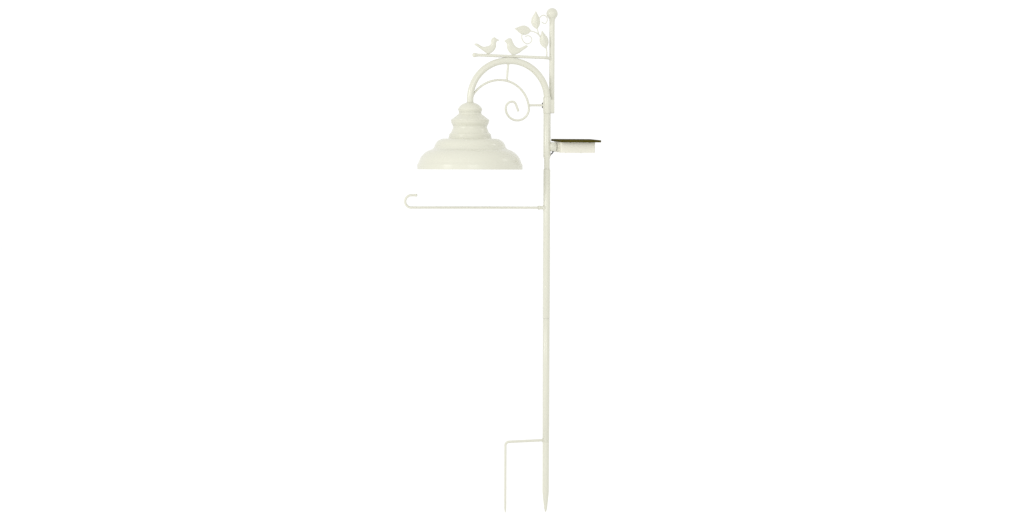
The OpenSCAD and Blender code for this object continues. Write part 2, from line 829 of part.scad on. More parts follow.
module solar_box() color(cream) {
    unit_frame()
        difference() {
            union() {
                difference() {
                    translate([box_x, -box_size[1] / 2, box_low])
                        cube(box_size);
                    translate([box_x + box_wall, box_wall - box_size[1] / 2, box_low + box_wall])
                        cube([box_size[0] - 2 * box_wall, box_size[1] - 2 * box_wall, 40]);
                }
                at_screws()
                    translate([0, 0, box_low])
                        cylinder(h = box_size[2], r = 3.6);
                at_door_screws()
                    translate([0, 0, box_low])
                        cylinder(h = 6, r = 3.2);
                x_cylinder(hub_x, box_x - hub_x, knuckle_r);
            }
            at_screws() {
                translate([0, 0, box_low - 1])
                    cylinder(h = 40, r = 1.3);
                translate([0, 0, box_low - 1])
                    cylinder(h = 3, r = 2.9);
            }
            at_door_screws()
                translate([0, 0, box_low - 1])
                    cylinder(h = 6.5, r = 1.1);
            translate([door_x - door_size[0] / 2, door_y - door_size[1] / 2, box_low - 1])
                cube([door_size[0], door_size[1], 2.2]);
            translate([door_x - 20, door_y - door_size[1] / 2 + 4, box_low - 1])
                cube([40, door_size[1] - 8, 5]);
            translate([slot_x - knob_size[0] / 2 - 0.4, slot_y - knob_size[1] / 2 - 0.4, box_low - 1])
                cube([knob_size[0] + knob_travel + 0.8, knob_size[1] + 0.8, 5]);
            x_cylinder(hub_x - 1, 20, stud_r + fit_gap);
        }
}

module battery_door() color(cream) {
    unit_frame()
        difference() {
            translate([door_x - door_size[0] / 2 + 0.2, door_y - door_size[1] / 2 + 0.2, box_low - 0.6])
                cube([door_size[0] - 0.4, door_size[1] - 0.4, 1.8]);
            at_door_screws()
                translate([0, 0, box_low - 1])
                    cylinder(h = 5, r = 1.1);
        }
}

module door_screws() color(steel) {
    unit_frame()
        at_door_screws()
            translate([0, 0, box_low - 0.6])
                rotate([180, 0, 0])
                    screw(2.3, 1.4, 1.1, 5);
}

module box_screws() color(steel) {
    unit_frame()
        at_screws()
            translate([0, 0, box_low + 2])
                rotate([180, 0, 0])
                    screw(2.6, 1.6, 1.3, box_size[2] + 1);
}

module panel_frame() color([0.13, 0.11, 0.08]) {
    unit_frame()
        difference() {
            translate([panel_x - panel_size[0] / 2, -panel_size[1] / 2, box_top])
                cube(panel_size);
            translate([panel_x - panel_size[0] / 2 + frame_rim, frame_rim - panel_size[1] / 2,
                box_top + panel_size[2] - cell_recess])
                cube([panel_size[0] - 2 * frame_rim, panel_size[1] - 2 * frame_rim, 5]);
            at_screws()
                translate([0, 0, box_top - 1])
                    cylinder(h = 4, r = 1.3);
            translate([box_mid_x + 20, -4, box_top - 1])
                cube([8, 8, 10]);
        }
}

module solar_cells() color([0.09, 0.1, 0.16]) {
    unit_frame()
        translate([panel_x - panel_size[0] / 2 + frame_rim, frame_rim - panel_size[1] / 2,
            box_top + panel_size[2] - cell_recess])
            cube([panel_size[0] - 2 * frame_rim, panel_size[1] - 2 * frame_rim, cell_recess - 0.3]);
}

module battery() color([0.25, 0.45, 0.3]) {
    unit_frame()
        translate([0, door_y, box_low + box_wall + 11.5])
            x_cylinder(door_x - 25, 50, 7.1);
}

module circuit_board() color(board_green) {
    unit_frame() {
        translate([box_mid_x - 20, -2, board_low])
            cube([44, 30, 1.6]);
        translate([box_mid_x - 10, 6, board_low + 1.6])
            cube([7, 5, 1.8]);
        translate([box_mid_x + 4, 10, board_low + 1.6])
            cylinder(h = 6, r = 3);
    }
}

module switch_body() color(dark) {
    unit_frame()
        difference() {
            translate([slot_x - 6, slot_y - 5, box_low + box_wall])
                cube([16, 10, 7]);
            translate([slot_x - knob_size[0] / 2 - 0.4, slot_y - knob_size[1] / 2 - 0.4, box_low + 1])
                cube([knob_size[0] + knob_travel + 0.8, knob_size[1] + 0.8, 4.4]);
        }
}

module switch_knob() color(dark) {
    unit_frame()
        translate([slot_x - knob_size[0] / 2, slot_y - knob_size[1] / 2, box_low - 1.8])
            cube([knob_size[0], knob_size[1], 6.6]);
}

module battery_lead() color(dark) {
    unit_frame()
        sweep(open_curve([[stud_end + seam_gap, 0, 0], [55, 0, 0], [58, 0, 0], [61, 1, 1],
            [64, 3, 3], [box_mid_x - 20, 4, board_low + 0.8]], 4), lead_r);
}

ground_stake();
lower_pole();
step_prong();
middle_pole();
hook_boss();
boss_washer();
hook_arm();
top_pole();
solar_knuckle();
pivot_stud();
pivot_washer();
pivot_nut();
lead_grommets();
panel_lead();
joint_sleeve();
arch_tube();
arch_scroll();
scroll_strut();
sleeve_strut();
strut_saddle();
saddle_screws();
topper_post();
finial_ball();
topper_bracket();
bracket_screws();
perch_bar();
perch_tip();
bird_left();
bird_right();
vine_stem();
vine_branch();
leaf_top();
leaf_left();
leaf_right();
tendril_upper();
tendril_lower();
stem_plug();
lamp_stem();
shade_cap();
shade_gallery();
shade_bowl();
stem_nut();
led_housing();
housing_nut();
led_board();
led_lens();
lamp_lead();
solar_box();
panel_frame();
solar_cells();
box_screws();
battery_door();
door_screws();
battery();
circuit_board();
switch_body();
battery_lead();
switch_knob();
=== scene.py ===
"""Looks for the solar lamp post.

Each piece is drawn where the CAD frame has its node, in millimetres, and publish() scales it to
metres, gives it its material and lets it ride on its body.
"""

import json
from math import cos, pi, radians, sin, sqrt, tan, tau

import bmesh
import bpy
from mathutils import Matrix, Vector
from mathutils.geometry import delaunay_2d_cdt


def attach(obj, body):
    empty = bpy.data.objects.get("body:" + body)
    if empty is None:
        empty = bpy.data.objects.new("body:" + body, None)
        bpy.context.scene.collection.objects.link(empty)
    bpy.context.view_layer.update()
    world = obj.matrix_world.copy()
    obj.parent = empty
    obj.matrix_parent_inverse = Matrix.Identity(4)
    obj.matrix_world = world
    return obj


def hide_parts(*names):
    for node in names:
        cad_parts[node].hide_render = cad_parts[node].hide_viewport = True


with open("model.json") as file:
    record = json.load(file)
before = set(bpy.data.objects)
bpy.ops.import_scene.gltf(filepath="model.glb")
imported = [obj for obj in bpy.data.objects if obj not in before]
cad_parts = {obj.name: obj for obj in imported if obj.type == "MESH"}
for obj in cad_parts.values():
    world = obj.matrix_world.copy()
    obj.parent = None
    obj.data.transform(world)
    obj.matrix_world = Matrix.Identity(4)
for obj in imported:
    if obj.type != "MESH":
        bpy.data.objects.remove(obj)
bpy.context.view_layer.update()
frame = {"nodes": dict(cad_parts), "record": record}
record = frame["record"]
SLOT_OF = {part["node"]: part["material_slot"] for part in record["subparts"]}
BODY_OF = {node: body for body, nodes in record["behaviour"]["bodies"].items() for node in nodes}

MM = 0.001
CREAM = (0.580, 0.576, 0.488)
BLACK, WHITE = (0, 0, 0), (1, 1, 1)


def new_object(name, data):
    obj = bpy.data.objects.new(name, data)
    bpy.context.scene.collection.objects.link(obj)
    return obj


def mesh_object(name, bm):
    mesh = bpy.data.meshes.new(name)
    bm.to_mesh(mesh)
    bm.free()
    return new_object(name, mesh)


# ------ camera, floor and light; metres and degrees ------

CAM_AZIMUTH = -15.47
CAM_DISTANCE = 12
CAM_HEIGHT = 0.827
CAM_YAW = 0.507
CAM_PITCH = 1.308
CAM_ROLL = 0.203
FOCAL_WIDTHS = 3.869
SENSOR = 36
WORLD_LIGHT = 1.06
FLOOR_HALF = 40


def add_camera():
    azimuth, pitch, roll = (radians(a) for a in (CAM_AZIMUTH, CAM_PITCH, CAM_ROLL))
    d = CAM_DISTANCE
    place = Vector((sin(azimuth) * d, -cos(azimuth) * d, CAM_HEIGHT))
    heading = azimuth + radians(CAM_YAW)
    level = cos(pitch)
    forward = Vector((-sin(heading) * level, cos(heading) * level, -sin(pitch)))
    right = Vector((cos(heading), sin(heading), 0))
    up = right.cross(forward)
    c, s = cos(roll), sin(roll)
    right, up = right * c + up * s, up * c - right * s
    data = bpy.data.cameras.new("camera")
    data.sensor_width = SENSOR
    data.lens = FOCAL_WIDTHS * SENSOR
    data.clip_end = 200
    camera = new_object("camera", data)
    turn = Matrix((right, up, -forward)).transposed().to_4x4()
    camera.matrix_world = Matrix.Translation(place) @ turn
    bpy.context.scene.camera = camera


def add_softbox(name, azimuth, elevation, distance, size, power, aim=(-0.12, 0, 0.95)):
    """A square softbox; its azimuth is measured from the camera's, positive to its right."""
    a = radians(CAM_AZIMUTH + azimuth)
    e = radians(elevation)
    aim = Vector(aim)
    toward = Vector((sin(a) * cos(e), -cos(a) * cos(e), sin(e)))
    place = aim + distance * toward
    data = bpy.data.lights.new(name, "AREA")
    data.size = size
    data.energy = power
    light = new_object(name, data)
    light.location = place
    light.rotation_euler = (place - aim).to_track_quat("Z", "Y").to_euler()


def add_studio(floor_z):
    world = bpy.data.worlds.new("studio")
    world.use_nodes = True
    background = world.node_tree.nodes["Background"]
    background.inputs["Color"].default_value = (1, 1, 1, 1)
    background.inputs["Strength"].default_value = WORLD_LIGHT
    bpy.context.scene.world = world
    bpy.context.scene.view_settings.view_transform = "Standard"
    add_softbox("key", -50, 11, 4.2, 1, 42)
    add_softbox("front", 6, 12, 4.8, 1.6, 36)
    add_softbox("side", 96, 30, 3.4, 0.5, 4)
    mesh = bpy.data.meshes.new("floor")
    corners = [(i * FLOOR_HALF, j * FLOOR_HALF, floor_z)
               for i, j in ((-1, -1), (1, -1), (1, 1), (-1, 1))]
    mesh.from_pydata(corners, [], [(0, 1, 2, 3)])
    look = Look("studio_floor", (0.96, 0.96, 0.96), 0.9, specular=0)
    look.vary(3, 0.004)
    mesh.materials.append(look.material)
    new_object("floor", mesh)


# ------ materials ------


class Look:
    """A node material whose detail is drawn in object coordinates: metres in the row frame."""

    def __init__(self, name, color, roughness, metallic=0, specular=0.5):
        self.material = bpy.data.materials.new(name)
        self.material.use_nodes = True
        self.tree = self.material.node_tree
        self.shader = self.tree.nodes["Principled BSDF"]
        self.color = tuple(color)
        self.set("Base Color", (*color, 1))
        self.set("Roughness", roughness)
        self.set("Metallic", metallic)
        self.set("Specular IOR Level", specular)
        self.coords = self.node("TexCoord").outputs["Object"]
        self.last_color = None
        self.last_normal = None

    def set(self, socket, value):
        self.shader.inputs[socket].default_value = value

    def link(self, a, b):
        self.tree.links.new(a, b)

    def node(self, kind, **values):
        node = self.tree.nodes.new("ShaderNode" + kind)
        for socket, value in values.items():
            node.inputs[socket].default_value = value
        return node

    def texture(self, kind, coords=None, **values):
        node = self.node(kind, **values)
        self.link(coords or self.coords, node.inputs["Vector"])
        return node

    def noise(self, scale, detail=2, coords=None):
        return self.texture("TexNoise", coords, Scale=scale, Detail=detail).outputs["Fac"]

    def waves(self, scale, distortion=0):
        """Bands that follow each other along X."""
        return self.texture("TexWave", Scale=scale, Distortion=distortion).outputs["Fac"]

    def mapped(self, **values):
        """The coordinates, moved or stretched."""
        return self.texture("Mapping", **values).outputs["Vector"]

    def ramp(self, fac, low, high, a, b):
        """Colour a where fac is under low, colour b where it is over high."""
        node = self.node("ValToRGB")
        for element, place, color in zip(node.color_ramp.elements, (low, high), (a, b)):
            element.position = place
            element.color = (*color, 1)
        self.link(fac, node.inputs["Fac"])
        return node.outputs["Color"]

    def mix(self, fac, a, b):
        node = self.node("Mix")
        node.data_type = "RGBA"
        for socket, value in ((node.inputs[0], fac), (node.inputs[6], a), (node.inputs[7], b)):
            if hasattr(value, "links"):
                self.link(value, socket)
            else:
                socket.default_value = value
        return node.outputs[2]

    def base(self):
        return self.last_color or (*self.color, 1)

    def paint(self, out):
        self.last_color = out
        self.link(out, self.shader.inputs["Base Color"])

    def vary(self, scale, amount, detail=3, tint=WHITE):
        """A soft drift of the colour, up to amount lighter and darker."""
        light = tuple(min(1, c * (1 + amount)) for c in self.color)
        deep = tuple(c * (1 - amount) * t for c, t in zip(self.color, tint))
        self.paint(self.ramp(self.noise(scale, detail), 0.3, 0.7, deep, light))

    def painted_crevice_shade(self, distance, color, amount):
        """Painted shade: a darker line where surfaces meet, from the geometry's own occlusion."""
        node = self.node("AmbientOcclusion", Distance=distance)
        node.samples = 8
        mask = self.ramp(node.outputs["AO"], 0.25, 0.8, (amount,) * 3, BLACK)
        self.paint(self.mix(mask, self.base(), (*color, 1)))

    def gloss(self, scale, low, high):
        """Roughness that drifts between low and high."""
        limits = {"From Min": 0.3, "From Max": 0.7, "To Min": low, "To Max": high}
        node = self.node("MapRange", **limits)
        self.link(self.noise(scale, 2), node.inputs["Value"])
        self.link(node.outputs["Result"], self.shader.inputs["Roughness"])

    def bump(self, fac, height, strength):
        """Relief of a height in metres, on top of any relief the look already has."""
        node = self.node("Bump", Strength=strength, Distance=height)
        self.link(fac, node.inputs["Height"])
        if self.last_normal:
            self.link(self.last_normal, node.inputs["Normal"])
        self.last_normal = node.outputs["Normal"]
        self.link(self.last_normal, self.shader.inputs["Normal"])
        return self


def enamel_look():
    look = Look("gloss_enamel", CREAM, 0.26)
    look.vary(5, 0.012, 1, (1, 0.998, 0.985))
    # painted shade: a brownish darkening in the creases and where parts meet
    look.painted_crevice_shade(0.004, (0.30, 0.27, 0.17), 0.15)
    look.gloss(38, 0.20, 0.30)
    look.bump(look.noise(190, 1), 0.0003, 0.06)
    return look.bump(look.noise(900, 1), 0.00005, 0.08)


def zinc_look():
    look = Look("zinc_plate", (0.62, 0.62, 0.60), 0.34, metallic=1)
    look.vary(160, 0.1, 4, (1, 1, 0.95))
    look.gloss(300, 0.24, 0.46)
    return look.bump(look.noise(700, 4, look.mapped(Scale=(1, 1, 6))), 0.00005, 0.5)


def board_look():
    look = Look("board_mask", (0.03, 0.16, 0.065), 0.36)
    look.vary(40, 0.08)
    tracks = look.waves(210, 0.6)
    mask = look.ramp(tracks, 0.86, 0.9, BLACK, WHITE)
    look.paint(look.mix(mask, look.base(), (0.05, 0.27, 0.11, 1)))
    return look.bump(tracks, 0.00003, 0.5)


def lens_look():
    """A frosted lens with fine rings about the lamp's axis."""
    look = Look("frosted_lens", (0.88, 0.88, 0.86), 0.5)
    look.set("Transmission Weight", 0.55)
    look.set("IOR", 1.49)
    look.vary(30, 0.02)
    about_lamp = look.mapped(Location=(0.24, 0, 0))
    rings = look.texture("TexWave", about_lamp, Scale=140)
    rings.wave_type = "RINGS"
    rings.rings_direction = "Z"
    return look.bump(rings.outputs["Fac"], 0.0002, 0.35)


def cells_look():
    """Dark cells with thin scribed lines, under a clear face."""
    look = Look("laminated_cells", (0.052, 0.043, 0.005), 0.5, specular=0)
    deep, light = (0.046, 0.038, 0.004), (0.056, 0.047, 0.006)
    tone = look.ramp(look.noise(240, 0), 0.35, 0.65, deep, light)
    scribed = look.ramp(look.waves(39.3), 0.96, 0.99, BLACK, WHITE)
    look.paint(look.mix(scribed, tone, (0.22, 0.19, 0.10, 1)))
    look.set("Coat Weight", 0.06)
    look.set("Coat Roughness", 0.2)
    return look.bump(look.noise(900, 1), 0.00008, 0.4)


def plain_look(name, color, roughness, drift, grain, gloss=None, specular=0.5):
    """A moulded or coated material.

    drift is the colour's scale and amount, grain the relief's scale, detail, height and strength,
    and gloss the scale and limits of a roughness that varies.
    """
    look = Look(name, color, roughness, specular=specular)
    look.vary(*drift)
    if gloss:
        look.gloss(*gloss)
    scale, detail, height, strength = grain
    return look.bump(look.noise(scale, detail), height, strength)


SLOT_LOOKS = {
    "enamel": enamel_look(),
    "box_plastic": plain_look(
        "moulded_cream", (0.665, 0.648, 0.552), 0.36, drift=(11, 0.02),
        grain=(1900, 2, 0.00008, 0.4), gloss=(60, 0.30, 0.42)),
    "housing": plain_look(
        "moulded_housing", (0.74, 0.73, 0.66), 0.38, drift=(20, 0.02),
        grain=(1600, 2, 0.00008, 0.3), gloss=(60, 0.32, 0.44)),
    "rubber": plain_look(
        "black_rubber", (0.022, 0.021, 0.020), 0.68, drift=(90, 0.25),
        grain=(1300, 3, 0.00012, 0.5), specular=0.3),
    "lead": plain_look(
        "cable_sheath", (0.018, 0.018, 0.018), 0.5, drift=(60, 0.3),
        grain=(900, 2, 0.00006, 0.5), specular=0.35),
    "steel": zinc_look(),
    "black_screw": plain_look(
        "blackened_screw", (0.028, 0.026, 0.024), 0.42, drift=(400, 0.3),
        grain=(2400, 2, 0.00004, 0.5), gloss=(500, 0.34, 0.52)),
    "board": board_look(),
    "lens": lens_look(),
    "frame_plastic": plain_look(
        "brown_moulding", (0.056, 0.047, 0.0065), 0.6, drift=(45, 0.12),
        grain=(1500, 2, 0.0001, 0.5), specular=0.02),
    "cells": cells_look(),
    "battery": plain_look(
        "cell_wrap", (0.05, 0.20, 0.09), 0.28, drift=(50, 0.08),
        grain=(500, 2, 0.00005, 0.4)),
    "black_plastic": plain_look(
        "black_moulding", (0.02, 0.02, 0.02), 0.5, drift=(80, 0.25),
        grain=(1500, 2, 0.0001, 0.5), specular=0.35),
}


# ------ paths and places; all in millimetres from here on ------

NO_TURN = Matrix.Identity(4)
ALONG_X = Matrix.Rotation(radians(90), 4, "Y")
ALONG_MINUS_X = Matrix.Rotation(radians(-90), 4, "Y")
UPSIDE_DOWN = Matrix.Rotation(pi, 4, "X")


def at(x, y, z, turn=NO_TURN):
    return Matrix.Translation((x, y, z)) @ turn


def angles(count):
    """count angles that share out one full turn."""
    return [tau * k / count for k in range(count)]


def arc(center, radius, start, end, count=16):
    """Points of an arc in a plane; start and end are in degrees."""
    points = []
    for i in range(count + 1):
        a = radians(start + (end - start) * i / count)
        points.append((center[0] + radius * cos(a), center[1] + radius * sin(a)))
    return points


def level_ring(center, radius, count=64, squash=1):
    """A level circle, squashed along Y."""
    x, y, z = center
    return [Vector((x + radius * cos(a), y + radius * sin(a) * squash, z)) for a in angles(count)]


def line(a, b, count=1):
    a, b = Vector(a), Vector(b)
    return [a.lerp(b, i / count) for i in range(count + 1)]


def curve_point(a, b, c, d, t):
    """A point of the smooth curve from b to c, which looks back to a and on to d."""
    square = (2 * a - 5 * b + 4 * c - d) * t * t
    cube = (3 * b - a - 3 * c + d) * t * t * t
    return 0.5 * (2 * b + (c - a) * t + square + cube)


def closed_curve(points, count=6):
    p = [Vector(q) for q in points]
    n = len(p)
    return [curve_point(p[i - 1], p[i], p[(i + 1) % n], p[(i + 2) % n], k / count)
            for i in range(n) for k in range(count)]


def open_curve(points, count=8):
    p = [Vector(q) for q in points]
    last = len(p) - 1
    out = [curve_point(p[max(i - 1, 0)], p[i], p[i + 1], p[min(i + 2, last)], k / count)
           for i in range(last) for k in range(count)]
    return out + [p[last]]


def soft_corner(before, corner, after, count):
    """Points of a curve that leaves before, bends at corner and reaches after."""
    return [(1 - t) ** 2 * before + 2 * t * (1 - t) * corner + t * t * after
            for t in (k / count for k in range(count + 1))]


def upright(points):
    """Points of the X-Z plane as points in space."""
    return [Vector((p[0], 0, p[1])) for p in points]


def joined(*paths):
    """Paths end to end, without the points that repeat."""
    out = []
    for path in paths:
        for p in path:
            p = Vector(p)
            if not out or (out[-1] - p).length > 0.05:
                out.append(p)
    return out


def fillet(points, radius, count=4, closed=False):
    """A profile with its corners rounded, as far as the sides next to them allow."""
    pts = [Vector(p) for p in points]
    n = len(pts)
    out = []
    for i in range(n):
        if not closed and i in (0, n - 1):
            out.append(pts[i])
            continue
        before, here, after = pts[i - 1], pts[i], pts[(i + 1) % n]
        u, v = before - here, after - here
        if u.length < 1e-6 or v.length < 1e-6:
            continue
        turn = u.angle(v)
        if pi - turn < 0.12:
            out.append(here)
            continue
        cut = min(radius / max(tan(turn / 2), 1e-3), u.length * 0.45, v.length * 0.45)
        out += soft_corner(here + u.normalized() * cut, here, here + v.normalized() * cut, count)
    return out


# ------ meshes ------


def lathe(profile, place=NO_TURN, segments=64, closed=False, bm=None):
    """A profile of (radius, height) pairs spun about the Z axis of place."""
    bm = bm or bmesh.new()
    rings = []
    for r, h in profile:
        turns = [0] if r < 1e-4 else angles(segments)
        rings.append([bm.verts.new(place @ Vector((r * cos(a), r * sin(a), h))) for a in turns])
    following = rings[1:] + (rings[:1] if closed else [])
    for a, b in zip(rings, following):
        if len(a) == len(b) == 1:
            continue
        for k in range(segments):
            j = (k + 1) % segments
            if len(a) == 1:
                bm.faces.new((a[0], b[k], b[j]))
            elif len(b) == 1:
                bm.faces.new((a[k], b[0], a[j]))
            else:
                bm.faces.new((a[k], b[k], b[j], a[j]))
    return bm


def band(inner, outer, low, high):
    """The profile of a plain ring or hollow post."""
    return [(inner, low), (outer, low), (outer, high), (inner, high)]


def cylinder(radius, low, high, place=NO_TURN, segments=24):
    return lathe(band(0, radius, low, high), place, segments)


def steady_frames(points):
    """A tangent and a normal at each point, with the normal carried along without twist."""
    n = len(points)
    tangents = [(points[min(i + 1, n - 1)] - points[max(i - 1, 0)]).normalized() for i in range(n)]
    seed = Vector((0, 1, 0)) if abs(tangents[0].y) < 0.8 else Vector((1, 0, 0))
    normal = (seed - tangents[0] * seed.dot(tangents[0])).normalized()
    frames = []
    for t in tangents:
        normal = (normal - t * normal.dot(t)).normalized()
        frames.append((t, normal.copy()))
    return frames


def add_ring(bm, center, out, side, r, count):
    return [bm.verts.new(center + r * cos(a) * out + r * sin(a) * side) for a in angles(count)]


def add_skin(bm, rings, capped=True):
    """Quads from ring to ring, with a face over the first and the last one."""
    n = len(rings[0])
    for a, b in zip(rings, rings[1:]):
        for k in range(n):
            j = (k + 1) % n
            bm.faces.new((a[k], a[j], b[j], b[k]))
    if capped:
        bm.faces.new(rings[0][::-1])
        bm.faces.new(rings[-1])


def tube(path, radius, sides=20, ends="flat", bm=None):
    """A tube along a path. radius is a number, or a function of the share of the length."""
    bm = bm or bmesh.new()
    pts = [Vector(p) for p in path]
    at_share = radius if callable(radius) else lambda share: radius
    lengths = [0]
    for a, b in zip(pts, pts[1:]):
        lengths.append(lengths[-1] + (b - a).length)
    rings = []

    def ring(center, normal, side, r):
        rings.append(add_ring(bm, center, normal, side, r, sides))

    cap_steps = 4
    dome = [pi / 2 * k / (cap_steps + 0.4) for k in range(1, cap_steps + 1)]
    for i, (p, (t, normal)) in enumerate(zip(pts, steady_frames(pts))):
        r = at_share(lengths[i] / lengths[-1])
        side = t.cross(normal)
        if i == 0 and ends == "round":
            for a in reversed(dome):
                ring(p - t * r * sin(a), normal, side, r * cos(a))
        ring(p, normal, side, r)
        if i == len(pts) - 1 and ends == "round":
            for a in dome:
                ring(p + t * r * sin(a), normal, side, r * cos(a))
    add_skin(bm, rings, ends != "open")
    return bm


def add_loop(bm, path, radius, sides=10):
    """A closed tube. radius is a function of the share of the way round."""
    pts = [Vector(p) for p in path]
    n = len(pts)
    center = sum(pts, Vector()) / n
    rings = []
    for i, p in enumerate(pts):
        t = (pts[(i + 1) % n] - pts[i - 1]).normalized()
        out = p - center
        out = (out - t * out.dot(t)).normalized()
        rings.append(add_ring(bm, p, out, t.cross(out), radius(i / n), sides))
    for i in range(n):
        a, b = rings[i], rings[(i + 1) % n]
        for k in range(sides):
            j = (k + 1) % sides
            bm.faces.new((a[k], b[k], b[j], a[j]))


def ripple(size, count, depth=0.10):
    """The thickness of a weld bead, with count ripples on its way round."""
    return lambda share: size * (1 + depth * sin(tau * count * share))


def add_weld(bm, start, direction, rod_r, main_point, main_dir, main_r, bead=1.5, count=48):
    """A bead where a rod meets a tube: each point is found on the tube's own surface."""
    d = Vector(direction).normalized()
    m = Vector(main_dir).normalized()
    seed = m if abs(m.dot(d)) < 0.9 else m.orthogonal()
    n = (seed - d * seed.dot(d)).normalized()
    b = d.cross(n)
    across = d - m * d.dot(m)
    path = []
    for a in angles(count):
        p = Vector(start) + (rod_r + bead * 0.15) * (cos(a) * n + sin(a) * b)
        rel = p - Vector(main_point)
        rel -= m * rel.dot(m)
        qa, qb, qc = across.dot(across), 2 * rel.dot(across), rel.dot(rel) - main_r ** 2
        disc = max(qb * qb - 4 * qa * qc, 0)
        path.append(p + d * ((-qb - sqrt(disc)) / (2 * qa)))
    ripple_length = 1.7
    add_loop(bm, path, ripple(bead, max(9, int(tau * rod_r / ripple_length))))


def block(low, high, corner, edge, bm=None):
    """A box whose upright edges have one radius and whose top and bottom edges another."""
    bm = bm or bmesh.new()
    x0, y0, z0 = low
    x1, y1, z1 = high
    steps = 3
    quarter = [pi / 2 * k / steps for k in range(steps + 1)]
    rounding = [(edge * (1 - sin(a)), edge * (1 - cos(a))) for a in quarter]
    levels = [(z0 + rise, inset) for rise, inset in reversed(rounding)]
    levels += [(z1 - rise, inset) for rise, inset in rounding]
    rings = []
    for z, inset in levels:
        r = max(corner - inset, 0.05)
        left, right, near, far = x0 + inset + r, x1 - inset - r, y0 + inset + r, y1 - inset - r
        corners = ((right, far, 0), (left, far, 90), (left, near, 180), (right, near, 270))
        rings.append([bm.verts.new((p[0], p[1], z)) for cx, cy, start in corners
                      for p in arc((cx, cy), r, start, start + 90, 5)])
    add_skin(bm, rings)
    return bm


def block_about(mid, half, low, high, corner, edge):
    """A block from low to high whose middle is mid and whose half size is half, both in plan."""
    (x, y), (hx, hy) = mid, half
    return block((x - hx, y - hy, low), (x + hx, y + hy, high), corner, edge)


def add_pillow(bm, outline, half, rim, spacing=1.5):
    """A closed outline in the X-Z plane, blown up like a cast plate.

    half is its half thickness, which it reaches at a distance of rim from its edge.
    """
    edge = [Vector((p[0], p[1])) for p in outline]
    n = len(edge)
    sides = [(edge[i], edge[(i + 1) % n] - edge[i]) for i in range(n)]

    def depth(p):
        best = 1e9
        for a, d in sides:
            t = max(0, min(1, (p - a).dot(d) / max(d.length_squared, 1e-9)))
            best = min(best, (p - a - d * t).length_squared)
        return sqrt(best)

    def inside(p):
        hit = False
        for i in range(n):
            a, b = edge[i], edge[(i + 1) % n]
            if (a.y > p.y) != (b.y > p.y) and p.x < (b.x - a.x) * (p.y - a.y) / (b.y - a.y) + a.x:
                hit = not hit
        return hit

    points = [p.copy() for p in edge]
    area = sum(edge[i].cross(edge[(i + 1) % n]) for i in range(n))
    sign = 1 if area > 0 else -1
    near_edge = (0.25, 0.8)
    for offset in near_edge:
        for i in range(n):
            t = (edge[(i + 1) % n] - edge[i - 1]).normalized()
            q = edge[i] + sign * offset * Vector((-t.y, t.x))
            if inside(q) and depth(q) > offset * 0.85:
                points.append(q)
    x0, x1 = min(p.x for p in edge), max(p.x for p in edge)
    z, z1 = min(p.y for p in edge) + spacing / 2, max(p.y for p in edge)
    row = 0
    while z < z1:
        x = x0 + spacing * (0.5 if row % 2 else 1)
        while x < x1:
            q = Vector((x, z))
            if inside(q) and depth(q) > near_edge[-1] + 0.5:
                points.append(q)
            x += spacing
        z += spacing * 0.866
        row += 1
    flat, _, faces, *_ = delaunay_2d_cdt(points, [], [list(range(n))], 1, 1e-5)
    front, back = [], []
    for p in flat:
        d = depth(p)
        if d < 1e-3:
            front.append(bm.verts.new((p.x, 0, p.y)))
            back.append(front[-1])
        else:
            share = min(d / rim, 1)
            h = half * sqrt(1 - (1 - share) ** 2)
            front.append(bm.verts.new((p.x, -h, p.y)))
            back.append(bm.verts.new((p.x, h, p.y)))
    for f in faces:
        bm.faces.new([front[i] for i in f])
        bm.faces.new([back[i] for i in reversed(f)])


def publish(bm, name, node, sharp=40):
    """Turns a mesh into a piece that stands for a CAD node, on its body and in its slot."""
    bmesh.ops.remove_doubles(bm, verts=bm.verts, dist=0.002)
    bmesh.ops.recalc_face_normals(bm, faces=bm.faces)
    limit = radians(sharp)
    for f in bm.faces:
        f.smooth = True
    for e in bm.edges:
        e.smooth = len(e.link_faces) == 2 and e.calc_face_angle(0) < limit
    bmesh.ops.scale(bm, vec=(MM, MM, MM), verts=bm.verts)
    piece = mesh_object(name, bm)
    piece.data.materials.append(SLOT_LOOKS[SLOT_OF[node]].material)
    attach(piece, BODY_OF[node])
    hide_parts(node)


def carve(solid, cutters, joins=()):
    """solid with closed meshes fused on and then others cut away, as a new mesh."""
    temporary = []

    def as_object(bm):
        bmesh.ops.recalc_face_normals(bm, faces=bm.faces)
        temporary.append(mesh_object("carve", bm))
        return temporary[-1]

    body = as_object(solid)
    for kind, group in (("UNION", joins), ("DIFFERENCE", cutters)):
        for tool in group:
            modifier = body.modifiers.new(kind, "BOOLEAN")
            modifier.operation = kind
            modifier.solver = "EXACT"
            modifier.object = as_object(tool)
    bpy.context.view_layer.update()
    done = body.evaluated_get(bpy.context.evaluated_depsgraph_get())
    out = bmesh.new()
    out.from_mesh(done.to_mesh())
    done.to_mesh_clear()
    for obj in temporary:
        mesh = obj.data
        bpy.data.objects.remove(obj)
        bpy.data.meshes.remove(mesh)
    return out


